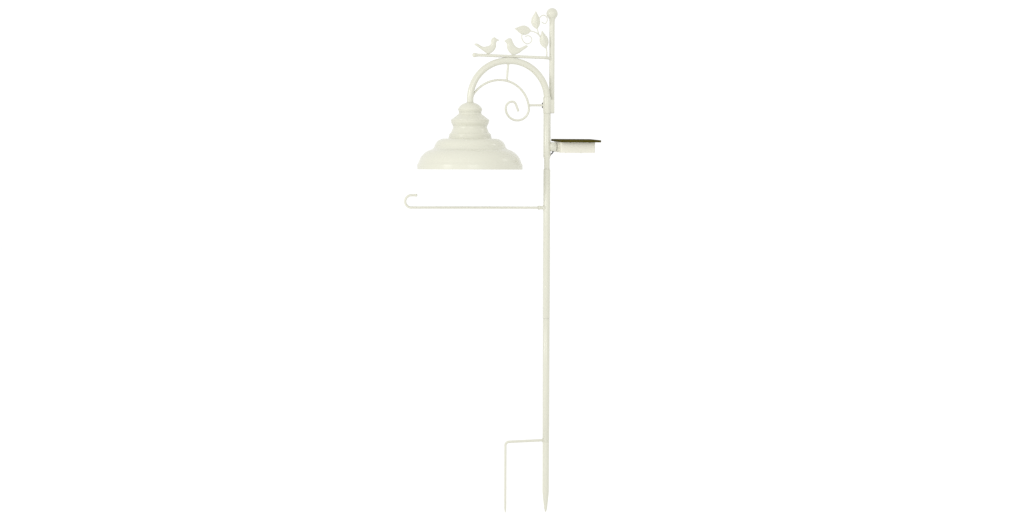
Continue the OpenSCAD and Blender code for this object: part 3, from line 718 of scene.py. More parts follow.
def publish_screws(name, node, places, head_r, head_h, shank_r, shank_len):
    """Pan head screws with a cross recess: seats at the places, shanks along their -Z."""
    shares = [(0.96, 0), (1, 0.18), (0.97, 0.5), (0.8, 0.82), (0.5, 0.96), (0, 1)]
    dome = [(shank_r, 0)] + [(head_r * r, head_h * h) for r, h in shares]
    tip = [(0, -shank_len), (shank_r * 0.6, -shank_len), (shank_r, -shank_len + shank_r * 0.6)]
    long, wide = head_r * 1.15, head_r * 0.28
    cuts = []
    for x, y in ((long, wide), (wide, long)):
        cut = bmesh.new()
        size = Matrix.Diagonal((x, y, head_h, 1))
        bmesh.ops.create_cube(cut, size=1, matrix=Matrix.Translation((0, 0, head_h)) @ size)
        cuts.append(cut)
    template = carve(lathe(tip + dome, segments=28), cuts)
    bm = bmesh.new()
    for place in places:
        new = {v: bm.verts.new(place @ v.co) for v in template.verts}
        for f in template.faces:
            bm.faces.new([new[v] for v in f.verts])
    template.free()
    publish(bm, name, node, 30)


# ------ places that several pieces share ------

POLE_SIDES = 48
GROUND_Z = -213  # the stake's point
LOWER_SEAM_Z = 374
SEAM = 0.3  # what shows between lower and middle pole
HOOK_Z = 710.5
NECK_Z = 827
LEAD_HOLE_Z = 870.9
LEAD_JOIN_Z = 990
PLUG_LEN = 44  # how far the sections go into each other
STAKE_R, LOWER_R, MIDDLE_R, TOP_R = 9.8, 10, 10.4, 10.9
SLEEVE_R, SLEEVE_TOP_Z = 12, 1045
ARCH_R, ARCH_WALL = 9.8, 1.1
ARCH_TOP_Z, ARCH_SPRING_Z, ARCH_BEND = 1154, 1038, 116
LAMP_X = -240.6
SCROLL_R = 3.3
SCROLL_C, SCROLL_BEND = (-147.6, 1005), 91
STRUT_Z = 1020.5
STRUT_FOOT_X, STRUT_HEAD_X = -126.9, -122.3
SADDLE_LEFT = -SLEEVE_R - 2.2
POST_X, POST_Y, POST_R = 18.2, 13, 8.1
BALL_Z, BALL_R = 1298.7, 17.2
BRACKET_FRONT, BRACKET_RIGHT = -8.5, 20.8
PERCH_R, PERCH_LEFT, PERCH_BEND = 4.4, -217, -10
VINE_X = -1


# ------ stake and pole ------


def pole_lathe(profile):
    return lathe(profile, NO_TURN, POLE_SIDES, True)


def build_stake():
    taper_end = GROUND_Z + 62
    taper = [(0, 0), (1.2, 0.3), (1.9, 2), (4.6, 10), (6.3, 26), (8.5, 44)]
    outside = [(r, GROUND_Z + h) for r, h in taper] + [
        (STAKE_R, taper_end), (STAKE_R, -20), (STAKE_R, -0.6), (9.3, 0)]
    inside = [(8.35, 0.1), (8.35, PLUG_LEN), (7.4, PLUG_LEN + 1), (7, PLUG_LEN), (7, taper_end),
              (0, taper_end - 2)]
    stake = lathe(fillet(outside + inside, 6, 5), segments=POLE_SIDES)
    publish(stake, "stake", "ground_stake")


def build_lower_pole():
    plug_top = LOWER_SEAM_Z + PLUG_LEN
    profile = [(8.4, 0.2), (9.5, 0), (LOWER_R, 0.6), (LOWER_R, LOWER_SEAM_Z - 0.9),
               (9.5, LOWER_SEAM_Z - SEAM), (8.5, LOWER_SEAM_Z - SEAM), (8.5, plug_top),
               (8, plug_top + 1), (7.15, plug_top + 1), (7.15, 85), (8.4, 81)]
    publish(pole_lathe(profile), "pole_lower", "lower_pole")


def build_middle_pole():
    profile = [(8.55, LOWER_SEAM_Z + 0.2), (9.8, LOWER_SEAM_Z), (MIDDLE_R, LOWER_SEAM_Z + 0.8),
               (MIDDLE_R, NECK_Z - 1.2), (9.8, NECK_Z), (8.55, NECK_Z - 0.2)]
    publish(pole_lathe(profile), "pole_middle", "middle_pole")


def build_top_pole():
    """The top pole's swaged neck widens from the plug to the tube in one soft step."""
    plug_r, plug_low, neck_low, neck_high = 8.5, NECK_Z - PLUG_LEN, 856, 866
    top_z, wall_r, bore_r = 1021, 9.3, 7.3
    tall = neck_high - neck_low
    swage = [(plug_r + (TOP_R - plug_r) * (1 - cos(pi * k / tall)) / 2, neck_low + k)
             for k in range(1, tall)]
    profile = [(plug_r, plug_low), (plug_r, neck_low), *swage, (TOP_R, neck_high),
               (TOP_R, top_z - 0.6), (TOP_R - 0.5, top_z), (wall_r, top_z), (wall_r, 868),
               (bore_r, 860), (bore_r, plug_low), (7.9, plug_low - 1)]
    pole = pole_lathe(profile)
    hole = cylinder(3.35, 5, 15, at(0, 0, LEAD_HOLE_Z, ALONG_X), 28)
    publish(carve(pole, [hole]), "pole_top", "top_pole")


def build_step():
    """One rod: the prong in the ground, a bend, and the step bar, which is a little thicker."""
    prong_x, bend, slope = -126.8, 11, 1.8
    rod_r, bar_extra, point = 3.4, 0.4, 12
    axis_x, axis_z = prong_x + bend, -9.5
    rise = radians(slope)
    corner = upright(arc((axis_x, axis_z), bend, 180, 90 + slope, 10))
    end = corner[-1] + Vector((cos(rise), 0, sin(rise))) * (-corner[-1].x - 8)
    down = line((prong_x, 0, GROUND_Z + 1.5), (prong_x, 0, axis_z), 30)
    length = -GROUND_Z + 130

    def radius(share):
        sharpened = min(1, 0.45 + 0.55 * share * length / point)
        bar = min(1, max(0, (share - 0.62) / 0.06))
        return (rod_r + bar_extra * bar) * sharpened

    bm = tube(joined(down, corner, line(corner[-1], end, 12)), radius, ends="round")
    add_weld(bm, end - Vector((20, 0, 0.6)), (1, 0, sin(rise)), rod_r + bar_extra,
             (0, 0, 0), (0, 0, 1), LOWER_R, 1.7)
    publish(bm, "step_rod", "step_prong")


# ------ feeder hook ------


def build_hook_boss():
    profile = [(0, 5), (8.3, 5), (8.6, 9.2)] + arc((8.6, 13), 3.4, -90, -180, 10)
    profile += [(5.3, 20.6), (5.9, 21.2), (6.1, 22.6), (6.1, 25.4), (5.6, 26), (3.55, 26),
                (3.55, 12), (0, 12)]
    bm = lathe(profile, at(0, 0, HOOK_Z, ALONG_MINUS_X), 40)
    boss = carve(bm, [cylinder(MIDDLE_R, HOOK_Z - 20, HOOK_Z + 20, segments=POLE_SIDES)])
    add_weld(boss, (-30, 0, HOOK_Z), (1, 0, 0), 8.2, (0, 0, HOOK_Z), (0, 0, 1), MIDDLE_R, 1.1)
    publish(boss, "hook_socket", "hook_boss")

    washer = fillet(band(3.6, 5.4, -28, -26), 0.5, 3, True)
    publish(lathe(washer, at(0, 0, HOOK_Z, ALONG_X), 36, True), "hook_washer", "boss_washer")


def build_hook():
    rod_r, bud_r, bend, reach, lip = 3.5, 4.4, 18.5, -422.5, 15
    top = HOOK_Z + 2 * bend
    rod = line((-MIDDLE_R - 4, 0, HOOK_Z), (reach, 0, HOOK_Z), 60)
    turn = upright(arc((reach, HOOK_Z + bend), bend, 270, 90, 28))
    tip = line((reach, 0, top), (reach + lip, 0, top), 4)
    bm = tube(joined(rod, turn, tip), rod_r)
    lathe(arc((0, 0), bud_r, -90, 90, 14), at(reach + lip, 0, top, ALONG_X), 24, bm=bm)
    publish(bm, "hook_rod", "hook_arm")


# ------ sleeve, arch and scroll ------


def arch_path():
    right_c, left_c = (-ARCH_BEND, ARCH_SPRING_Z), (LAMP_X + ARCH_BEND, ARCH_SPRING_Z)
    return joined(
        line((0, 0, 1023), (0, 0, ARCH_SPRING_Z), 3),
        upright(arc(right_c, ARCH_BEND, 0, 90, 44)),
        upright(arc(left_c, ARCH_BEND, 90, 180, 44)),
        line((LAMP_X, 0, ARCH_SPRING_Z), (LAMP_X, 0, 1000), 6),
    )


def build_arch():
    """An outer and an inner skin, bridged at the pole's end and at the lamp's end."""
    bm = tube(arch_path(), ARCH_R, 40, "open")
    tube(arch_path(), ARCH_R - ARCH_WALL, 40, "open", bm)
    rims = [e for e in bm.edges if e.is_boundary]
    for at_lamp in (False, True):
        edges = [e for e in rims if (e.verts[0].co.x < LAMP_X / 2) == at_lamp]
        bmesh.ops.bridge_loops(bm, edges=edges)
    publish(bm, "arch", "arch_tube")


def build_sleeve():
    bore_r, low, shoulder = TOP_R + 0.05, 997, 1021.5
    profile = [(bore_r, low), (SLEEVE_R, low), (SLEEVE_R, SLEEVE_TOP_Z), (9.8, SLEEVE_TOP_Z),
               (9.8, 1023), (8.8, 1022.5), (8.8, shoulder), (bore_r, shoulder)]
    bm = pole_lathe(fillet(profile, 0.8, 4, True))
    add_loop(bm, level_ring((0, 0, SLEEVE_TOP_Z + 0.2), 10.4), ripple(1, 30))
    publish(bm, "sleeve", "joint_sleeve")


def build_scroll():
    """Arcs that each leave the last one's end in its direction, down to the hooked eye."""
    curl_r, eye_r, hook_r, tail_r = 36.3, 20.3, 12, 200
    turn, hook_turn, tail_turn = 6, 23, 6.8

    def inner(center, radius, next_radius, angle):
        """The centre of an arc that takes over from another one at an angle."""
        a, shift = radians(angle), radius - next_radius
        return center[0] + shift * cos(a), center[1] + shift * sin(a)

    curl_c = inner(SCROLL_C, SCROLL_BEND, curl_r, turn)
    eye_c = inner(curl_c, curl_r, eye_r, 180)
    hook_c = inner(eye_c, eye_r, hook_r, 90)
    tail_c = inner(hook_c, hook_r, tail_r, hook_turn)
    path = upright(joined(
        arc((SCROLL_C[0], 996), 100, 149, 90, 26),
        arc(SCROLL_C, SCROLL_BEND, 90, turn, 34),
        arc(curl_c, curl_r, turn, -180, 44),
        arc(eye_c, eye_r, 180, 90, 20),
        arc(hook_c, hook_r, 90, hook_turn, 12),
        arc(tail_c, tail_r, hook_turn, hook_turn - tail_turn, 8),
    ))
    bm = tube(path, SCROLL_R)
    start, after = path[0], path[2]
    add_weld(bm, after + (after - start), start - after, SCROLL_R, (LAMP_X, 0, 1040), (0, 0, 1),
             ARCH_R, 1.2)
    publish(bm, "scroll", "arch_scroll")


def build_upright_strut():
    r = SCROLL_R - 0.1
    past_mid = STRUT_FOOT_X - SCROLL_C[0]
    foot = Vector((STRUT_FOOT_X, 0, SCROLL_C[1] + sqrt(SCROLL_BEND ** 2 - past_mid ** 2)))
    head = Vector((STRUT_HEAD_X, 0, ARCH_TOP_Z - ARCH_R + 0.4))
    middle, rise = foot.lerp(head, 0.5), (head - foot).normalized()
    lean = Vector((1, 0, -past_mid / SCROLL_BEND))
    bm = tube(line(foot, head, 8), r, 18)
    add_weld(bm, middle, rise, r, (STRUT_HEAD_X, 0, ARCH_TOP_Z), (1, 0, 0), ARCH_R, 1.1)
    add_weld(bm, middle, -rise, r, foot, lean, SCROLL_R, 1)
    publish(bm, "strut_upright", "scroll_strut")


def build_level_strut():
    r = SCROLL_R + 0.1
    past_mid = STRUT_Z - SCROLL_C[1]
    end = (SCROLL_C[0] + sqrt(SCROLL_BEND ** 2 - past_mid ** 2), 0, STRUT_Z)
    lean = Vector((-past_mid / SCROLL_BEND, 0, 1))
    bm = tube(line(end, (-SLEEVE_R - 2, 0, STRUT_Z), 8), r, 18)
    add_weld(bm, (-36, 0, STRUT_Z), (-1, 0, 0), r, end, lean, SCROLL_R, 1)
    publish(bm, "strut_level", "sleeve_strut")


def sleeve_cutter():
    return cylinder(SLEEVE_R, 990, 1050, segments=POLE_SIDES)


def build_saddle():
    half_y, half_z, screw_z = 5, 9, 5.8
    plate = block((SADDLE_LEFT, -half_y, STRUT_Z - half_z),
                  (SADDLE_LEFT + 8, half_y, STRUT_Z + half_z), 1.2, 0.7)
    publish(carve(plate, [sleeve_cutter()]), "saddle", "strut_saddle")

    places = [at(SADDLE_LEFT, 0, STRUT_Z + screw_z * side, ALONG_MINUS_X) for side in (-1, 1)]
    publish_screws("saddle_screw_heads", "saddle_screws", places, 2.3, 1.9, 1.2, 1.5)


# ------ topper ------


def build_post():
    under, bore_r = BALL_Z - BALL_R, 6.8
    flare = [(0, -9), (0.1, -6), (0.45, -3), (1.1, -0.5), (2, 2), (3.2, 4.2)]
    profile = [(bore_r, 998), (7.4, 997), (POST_R, 997.8)]
    profile += [(POST_R + out, under + up) for out, up in flare] + [(bore_r, under + 4)]
    post = at(POST_X, POST_Y, 0)
    publish(lathe(profile, post, POLE_SIDES, True), "post", "topper_post")
    publish(lathe(arc((0, BALL_Z), BALL_R, -90, 90, 40), post), "ball", "finial_ball")


def build_bracket():
    low, high, back = 998, 1038, 8
    bm = block((4, BRACKET_FRONT, low), (BRACKET_RIGHT, back, high), 1.6, 0.9)
    rod = cylinder(POST_R, 990, 1050, at(POST_X, POST_Y, 0), POLE_SIDES)
    publish(carve(bm, [sleeve_cutter(), rod]), "bracket", "topper_bracket")

    places = [at(BRACKET_RIGHT, -2, z, ALONG_X) for z in (low + 9, low + 30)]
    publish_screws("bracket_screw_heads", "bracket_screws", places, 2.6, 1.6, 1.4, 6)


def perch_z(x):
    """The height of the perch's axis: it lies on the arch's top and falls a little to the right."""
    return ARCH_TOP_Z + ARCH_R + PERCH_R - 0.4 - 0.027 * (x - LAMP_X / 2)


def build_perch():
    left = Vector((PERCH_LEFT, 0, perch_z(PERCH_LEFT)))
    corner = Vector((PERCH_BEND, 0, perch_z(PERCH_BEND)))
    right = Vector((POST_X, POST_Y, perch_z(POST_X) - 1))
    onward = (right - corner).normalized()
    before, after = corner + (left - corner).normalized() * 7, corner + onward * 7
    stop = right - onward * (POST_R * 0.8)
    bend = soft_corner(before, corner, after, 8)
    bm = tube(joined(line(left, before, 40), bend, line(after, stop, 6)), PERCH_R, 22)
    add_weld(bm, corner, right - corner, PERCH_R, (POST_X, POST_Y, 0), (0, 0, 1), POST_R, 1.3)

    crest, half_len = -120, 26

    def fillet_weld(share):
        return 0.5 + 2.5 * sin(pi * share) ** 0.6 * (1 + 0.07 * sin(share * 88))

    for side in (-1, 1):
        seam = [Vector((crest + x, side * 4.4 * cos(x / 60), ARCH_TOP_Z + 7.6 - x ** 2 / 300))
                for x in range(-half_len, half_len + 1, 2)]
        tube(seam, fillet_weld, 12, "round", bm)
    publish(bm, "perch", "perch_bar")


def build_perch_bud():
    bud = open_curve([(PERCH_R, -2), (4.6, 0), (5, 4), (6.2, 8), (6.8, 11.2), (5.8, 14.2),
                      (3.4, 16.3), (0, 17)], 4)
    profile = [(max(p.x, 0), p.y) for p in bud]
    place = at(PERCH_LEFT, 0, perch_z(PERCH_LEFT), ALONG_MINUS_X)
    publish(lathe(profile, place, 32), "perch_bud", "perch_tip")


BIRD_LEFT = [
    (-43, 30), (-34, 32.5), (-24, 27), (-14, 23), (-1, 25.5), (7, 30), (8.5, 41), (13, 49),
    (20, 52), (26.5, 47.5), (35, 43.5), (26.5, 39.5), (24.5, 31), (24, 22), (17, 11), (6, 3),
    (-2, 1), (-8, 5.5), (-24, 17),
]
BIRD_RIGHT = [
    (-26.5, 43.5), (-20, 48), (-14, 51.5), (-5, 51), (0, 40), (6, 30), (13, 25), (20, 22.5),
    (30, 26.5), (41, 31), (47, 28), (41, 22.5), (31, 16), (22, 9), (12.5, 4.5), (2, 1), (-6, 5),
    (-14, 14), (-18.5, 25), (-19.5, 36),
]


def build_bird(name, outline, x, node):
    """A cast bird on two short legs; its outline is measured from the perch under it."""
    base = Vector((x, perch_z(x) + PERCH_R - 1.4))
    bm = bmesh.new()
    add_pillow(bm, [p + base for p in closed_curve(outline, 5)], 4.5, 8, 1.7)
    for dx in (-1.6, 2.2):
        leg = line((base.x + dx, -0.5, base.y - 0.2), (base.x + dx * 1.6, 0, base.y + 5), 3)
        tube(leg, 1.1, 10, "round", bm)
    publish(bm, name, node, 60)


LEAF_SHAPE = [(0, 0.06), (0.06, 0.34), (0.18, 0.74), (0.32, 0.96), (0.44, 1), (0.58, 0.88),
              (0.72, 0.62), (0.86, 0.30), (0.95, 0.11), (1, 0.02)]


def leaf_width(u):
    """The leaf's width at a share of its length, as a share of its greatest width."""
    for (u0, w0), (u1, w1) in zip(LEAF_SHAPE, LEAF_SHAPE[1:]):
        if u <= u1:
            t = (u - u0) / (u1 - u0)
            t = t * t * (3 - 2 * t) * 0.5 + t * 0.5
            return w0 + (w1 - w0) * t
    return LEAF_SHAPE[-1][1]


def build_leaf(name, base, tip, left, right, node, curl=1):
    """A cupped blade with a midrib and side veins; left and right are its widths by the rib."""
    base, tip = Vector(base), Vector(tip)
    along = tip - base
    side = Vector((-along.y, along.x)).normalized()
    rows, half = 40, 11
    grid = {}
    bm = bmesh.new()
    for i in range(rows + 1):
        u = i / rows
        width = leaf_width(u)
        for j in range(-half, half + 1):
            v = j / half
            reach = (left if v > 0 else right) * width
            p = base + along * u + side * v * reach
            cup = curl * (-3.6 * v * v * width - 1.5 * (u - 0.45) ** 2 * 4 + 1)
            vein_phase = (u * 7 - abs(v) * 1.6) % 1
            vein = 0.32 * max(0, 1 - abs(vein_phase - 0.5) / 0.16)
            vein *= (1 - abs(v) ** 3) * (0.06 < u < 0.94) * (abs(v) > 0.06)
            rib = 0.55 * max(0, 1 - abs(v) * reach / 1.5 / max(width, 0.2))
            y = -cup - rib - vein
            thick = 0.35 + 0.55 * sqrt(max(0, 1 - abs(v) ** 10))
            grid[i, j, 0] = bm.verts.new((p.x, y - thick, p.y))
            grid[i, j, 1] = bm.verts.new((p.x, y + thick, p.y))

    def quad(*corners):
        bm.faces.new([grid[c] for c in corners])

    for i in range(rows):
        for j in range(-half, half):
            for k in (0, 1):
                quad((i, j, k), (i + 1, j, k), (i + 1, j + 1, k), (i, j + 1, k))
        for j in (-half, half):
            quad((i, j, 0), (i + 1, j, 0), (i + 1, j, 1), (i, j, 1))
    for i in (0, rows):
        for j in range(-half, half):
            quad((i, j, 0), (i, j + 1, 0), (i, j + 1, 1), (i, j, 1))
    publish(bm, name, node, 65)


def build_vine():
    """The stem climbs from a small weld on the perch; the branch carries the far leaf."""
    weld_y, top = 3, perch_z(VINE_X) + PERCH_R
    stem = open_curve([(VINE_X, weld_y, top - 1.4), (VINE_X, 2.5, 1180), (-3, 3.1, 1195),
                       (-12, 3.3, 1214), (-24, 1.2, 1230), (-29, 0, 1242), (-33, 0, 1256)])
    bm = tube(stem, lambda s: 2 - 0.45 * s, 16, "round")
    add_loop(bm, level_ring((VINE_X, weld_y, top - 0.9), 2.3, 30, 0.8), ripple(0.9, 9))
    publish(bm, "vine", "vine_stem")

    branch = open_curve([(-25.5, 0.8, 1232.5), (-36, 0, 1240.5), (-55, 0, 1246)], 10)
    publish(tube(branch, lambda s: 1.75 - 0.3 * s, 16, "round"), "vine_fork", "vine_branch")


def build_tendril(name, points, node):
    bm = tube(upright(open_curve(points, 9)), lambda s: 1.6 - 0.3 * s, 14, "round")
    publish(bm, name, node)


# ------ lamp ------

SHADE_T = 0.8
SHADE_SEGMENTS = 128
RIM_R, RIM_Z, HEM_R = 159, 825.5, 1.1
LAMP = at(LAMP_X, 0, 0)


def shell(profile, thickness):
    """A profile and the same profile moved inwards, as one closed loop."""
    pts = [Vector(p) for p in profile]
    inner = []
    for i, p in enumerate(pts):
        d = (pts[min(i + 1, len(pts) - 1)] - pts[max(i - 1, 0)]).normalized()
        inner.append(Vector((max(p.x + thickness * d.y, 0.2), p.y - thickness * d.x)))
    return pts + inner[::-1]


def spun(profile, corner):
    """One tier of the shade: thin metal spun about the lamp's axis."""
    return lathe(shell(fillet(profile, corner, 4), SHADE_T), LAMP, SHADE_SEGMENTS, True)


def build_shade():
    cap = arc((5, 992), 35.4, 81, 30.5, 16) + [(36.6, 1008.2), (36.3, 1005), (34.6, 1001.5),
                                               (33.8, 998.5)]
    bm = spun(cap, 1.6)
    add_loop(bm, level_ring((LAMP_X, 0, 1027.2), 10.2), ripple(0.9, 26, 0.08))
    publish(bm, "shade_dome", "shade_cap")

    gallery = [(5.2, 1000), (31.2, 1000), (33.8, 997.6), (35, 992.4), (43.3, 986.2), (51.5, 980.2)]
    gallery += arc((56.6, 974.2), 1.8, 60, -50, 6) + [(57, 967)]
    gallery += arc((61.5, 953), 10.2, 145, 214, 12)
    gallery += [(55.4, 941), (58, 936), (62.4, 932.6), (63.6, 927), (64.6, 922.5), (66, 918.8)]
    publish(spun(gallery, 2), "shade_neck", "shade_gallery")

    bowl = [(31, 918.7), (70, 918.7)] + arc((78, 888.5), 30, 88, 12, 20) + [(110.6, 889.6)]
    bowl += arc((102.5, 833.5), 54, 76, 14, 20)
    bowl += [(157.2, 842.5), (RIM_R, RIM_Z + 14), (RIM_R, RIM_Z + 1)]
    bm = spun(bowl, 2.2)
    hem = arc((RIM_R - HEM_R, RIM_Z + HEM_R), HEM_R, 0, 360, 12)[:-1]
    lathe(hem, LAMP, SHADE_SEGMENTS, True, bm)
    publish(bm, "shade_bell", "shade_bowl")


def build_light():
    housing = [(5.1, 931), (24, 931), (30, 925), (30, 917.9), (38, 917.9), (38, 915.9), (32, 914.9),
               (32, 882), (30, 882), (28, 923), (22, 929), (5.1, 929)]
    bm = lathe(fillet(housing, 0.8, 3, True), LAMP, 72, True)
    publish(bm, "light_housing", "led_housing")

    outer, inner = arc((0, 934), 60, -90, -61.1, 14), arc((0, 934), 58.2, -61.7, -90, 14)
    lens = outer + [(29.6, 882), (29.6, 887), (27.6, 887)] + inner
    publish(lathe(lens, LAMP, 72), "light_lens", "led_lens")


# ------ knuckle and lead ------

PIVOT_Z = 895.4
REST_TILT = 2.1
HUB_X = 29.7
KNUCKLE_R, KNUCKLE_END = 14, 28.6
DROP_X = 19  # where the lead leaves the knuckle
LEAD_R = 1.8


def build_knuckle():
    end, r, seat = KNUCKLE_END, KNUCKLE_R, KNUCKLE_END - 4
    axis = at(0, 0, PIVOT_Z, ALONG_X)
    profile = [(0, 5), (9, 5), (9, 7), (12, 9.2), (13.4, 10.6), (r, 12.4), (r, end - 2.6),
               (r - 0.3, end - 1.4), (r - 1.2, end - 0.4), (r - 2.2, end), (4, end), (4, seat),
               (10.6, seat), (10.6, 13.5), (0, 13.5)]
    pole = cylinder(TOP_R, PIVOT_Z - 30, PIVOT_Z + 30, segments=POLE_SIDES)
    hole = cylinder(3.2, PIVOT_Z - 22, PIVOT_Z - 5, at(DROP_X, 0, 0), 28)
    publish(carve(lathe(profile, axis), [pole, hole]), "tilt_knuckle", "solar_knuckle")

    washer = fillet(band(4, r - 2, end, HUB_X - 0.3), 0.2, 3, True)
    publish(lathe(washer, axis, 56, True), "tilt_washer", "pivot_washer")


def build_panel_lead():
    """From the pivot's end through the knuckle, in the open to the pole, and up its axis."""
    route = [(52, 0), (38, 0), (25.5, 0), (21.6, -1.2), (19.5, -4), (DROP_X, -8), (DROP_X, -15.6),
             (17.6, -18.6), (14.4, -21.6), (10.2, -23.6), (5.5, -25), (0.6, -24.6), (-3, -21.4),
             (-4.4, -16), (-3.8, -6), (-1.6, 6), (0, 22), (0, 60), (0, 87),
             (0, LEAD_JOIN_Z - PIVOT_Z)]
    path = upright([(x, z + PIVOT_Z) for x, z in open_curve(route, 7)])
    publish(tube(path, LEAD_R, 16), "lead_panel", "panel_lead")

    below = [(2, 0), (4.2, 0), (4.2, 1), (3.2, 1.2), (3.2, 4.5), (2, 4.5)]
    bm = lathe(fillet(below, 0.3, 3, True), at(DROP_X, 0, PIVOT_Z - KNUCKLE_R - 1), 32, True)
    beside = fillet(band(2.5, 3.3, 9.3, TOP_R + 0.8), 0.3, 3, True)
    lathe(beside, at(0, 0, LEAD_HOLE_Z, ALONG_X), 32, True, bm)
    publish(bm, "lead_sleeves", "lead_grommets")


# ------ solar unit: drawn level with its pivot axis as origin, then tilted ------

UNIT = Matrix.Translation((0, 0, PIVOT_Z)) @ Matrix.Rotation(radians(REST_TILT), 4, "X")
BOX_X, BOX_L, BOX_W, BOX_H, BOX_LOW = 33, 108.5, 76, 32.5, -17
BOX_HIGH = BOX_LOW + BOX_H
BOX_MID = (BOX_X + BOX_L / 2, 0)
BOX_HALF = (BOX_L / 2, BOX_W / 2)
WALL = 2
CASE_CORNERS = [(BOX_MID[0] + i * (BOX_HALF[0] - 6), j * (BOX_HALF[1] - 6))
                for i in (-1, 1) for j in (-1, 1)]
DOOR_MID, DOOR_HALF = (BOX_MID[0] - 8, -16), (28, 13)
SLOT_MID = (112, 20)
SLIDE = 4  # the knob's travel
PANEL_MID, PANEL_HALF, PANEL_T = (91.5, 0), (62.5, 60), 6.5
PANEL_RIM, PANEL_RECESS = 4, 1.6


def shrunk(half, by):
    return half[0] - by, half[1] - by


def publish_unit(bm, name, node, sharp=32):
    bm.transform(UNIT)
    publish(bm, name, node, sharp)


def build_case():
    bm = block_about(BOX_MID, BOX_HALF, BOX_LOW, BOX_HIGH, 3, 1)
    cavity = block_about(BOX_MID, shrunk(BOX_HALF, WALL), BOX_LOW + WALL, BOX_HIGH + 9, 2, 0.4)
    door = block_about(DOOR_MID, DOOR_HALF, BOX_LOW - 5, BOX_LOW + 1.2, 1.5, 0.2)
    opening = block_about(DOOR_MID, (20, 9), BOX_LOW - 5, BOX_LOW + 4, 1, 0.2)
    slot = block_about((SLOT_MID[0] + SLIDE / 2, SLOT_MID[1]), (4.9, 3.4), BOX_LOW - 5, BOX_LOW + 4,
                       0.8, 0.2)
    holes = [cylinder(2.9, BOX_LOW - 5, BOX_LOW + 2, at(x, y, 0)) for x, y in CASE_CORNERS]
    hub = lathe([(0, HUB_X), (KNUCKLE_R - 0.8, HUB_X), (KNUCKLE_R, HUB_X + 0.8),
                 (KNUCKLE_R, BOX_X + 0.6), (0, BOX_X + 0.6)], ALONG_X)
    bore = cylinder(4.05, HUB_X - 3, BOX_X + 5, ALONG_X, 32)
    case = carve(bm, [cavity, door, opening, slot, *holes, bore], [hub])
    for x, y in CASE_CORNERS:
        post = band(1.3, 3.6, BOX_LOW + 1.9, BOX_HIGH - 0.1)
        lathe(post, at(x, y, 0), 24, True, case)
    publish_unit(case, "solar_case", "solar_box")

    places = [UNIT @ at(x, y, BOX_LOW + 2, UPSIDE_DOWN) for x, y in CASE_CORNERS]
    publish_screws("case_screws", "box_screws", places, 2.6, 1.6, 1.3, 31)


def build_battery_door():
    under = BOX_LOW - 0.6
    bm = block_about(DOOR_MID, shrunk(DOOR_HALF, 0.2), under, BOX_LOW + 1.2, 1.4, 0.4)
    grooves = [block_about((DOOR_MID[0] - 8.4 + 3 * k, DOOR_MID[1]), (0.6, 7), BOX_LOW - 1,
                           BOX_LOW - 0.2, 0.5, 0.1) for k in range(7)]
    publish_unit(carve(bm, grooves), "case_door", "battery_door")

    spread = DOOR_HALF[0] - 4
    places = [UNIT @ at(DOOR_MID[0] + dx, DOOR_MID[1], under, UPSIDE_DOWN)
              for dx in (-spread, spread)]
    publish_screws("case_door_screws", "door_screws", places, 2.3, 1.4, 1.1, 5)


def build_switch():
    bm = block_about(SLOT_MID, (2.5, 3), BOX_LOW - 1.8, BOX_LOW + 4.8, 0.7, 0.5)
    ribs = [block_about((SLOT_MID[0] - 1.75 + 1.3 * k, SLOT_MID[1]), (0.25, 4), BOX_LOW - 3,
                        BOX_LOW - 1.4, 0.1, 0.05) for k in range(4)]
    publish_unit(carve(bm, ribs), "slide_knob", "switch_knob", 30)


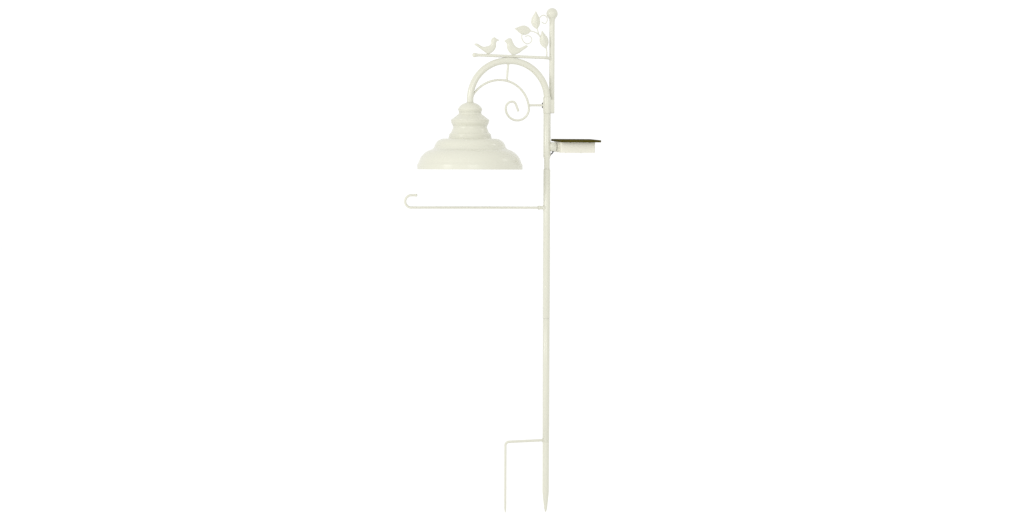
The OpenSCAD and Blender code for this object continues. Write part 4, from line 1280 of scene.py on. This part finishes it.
def build_panel():
    top = BOX_HIGH + PANEL_T
    floor = top - PANEL_RECESS
    bm = block_about(PANEL_MID, PANEL_HALF, BOX_HIGH, top, 2.5, 0.9)
    tray = block_about(PANEL_MID, shrunk(PANEL_HALF, PANEL_RIM), floor, BOX_HIGH + 9, 1.2, 0.1)
    publish_unit(carve(bm, [tray]), "panel_tray", "panel_frame")

    half_x, half_y = shrunk(PANEL_HALF, PANEL_RIM + 0.1)
    bm = block_about(PANEL_MID, (half_x, half_y), floor, floor + 0.7, 0.8, 0.15)
    columns, rows, gap = 2, 7, 1.6
    cell_x, cell_y = (2 * half_x - gap) / columns - gap, (2 * half_y - gap) / rows - gap
    for i in range(columns):
        for j in range(rows):
            x = PANEL_MID[0] - half_x + gap + i * (cell_x + gap)
            y = PANEL_MID[1] - half_y + gap + j * (cell_y + gap)
            far = (x + cell_x, y + cell_y, floor + 0.95)
            block((x, y, floor + 0.65), far, 0.4, 0.12, bm)
    publish_unit(bm, "panel_cells", "solar_cells")


# ------ the scene ------


def dress_hidden_nodes():
    """CAD nodes that stay keep their shape and take the finish of their own slot."""
    for node, obj in frame["nodes"].items():
        obj.data.materials.clear()
        obj.data.materials.append(SLOT_LOOKS[SLOT_OF[node]].material)


add_camera()
add_studio((GROUND_Z - 0.2) * MM)
dress_hidden_nodes()
build_stake()
build_lower_pole()
build_middle_pole()
build_top_pole()
build_step()
build_hook_boss()
build_hook()
build_arch()
build_sleeve()
build_scroll()
build_upright_strut()
build_level_strut()
build_saddle()
build_post()
build_bracket()
build_perch()
build_perch_bud()
build_bird("bird_near_lamp", BIRD_LEFT, -185, "bird_left")
build_bird("bird_near_post", BIRD_RIGHT, -108, "bird_right")
build_vine()
build_tendril("curl_upper", [(-26, 1283), (-20, 1290), (-12, 1293.5), (-3.5, 1289), (-0.5, 1281),
                             (-2.5, 1272), (-9, 1268), (-17.5, 1272.5)], "tendril_upper")
build_tendril("curl_lower", [(-77.5, 1239), (-80.5, 1226), (-75, 1213), (-64, 1206), (-53, 1210),
                             (-48.5, 1219), (-53, 1227.5), (-61, 1230.5), (-68.5, 1228.5)],
              "tendril_lower")
build_leaf("leaf_upper", (-33, 1251), (-36, 1306), 16.5, 12, "leaf_top")
build_leaf("leaf_far", (-51, 1245), (-103, 1252), 15, 13.5, "leaf_left", 0.7)
build_leaf("leaf_near", (-4.5, 1193), (-17, 1247), 14, 14, "leaf_right")
build_shade()
build_light()
build_knuckle()
build_panel_lead()
build_case()
build_battery_door()
build_switch()
build_panel()
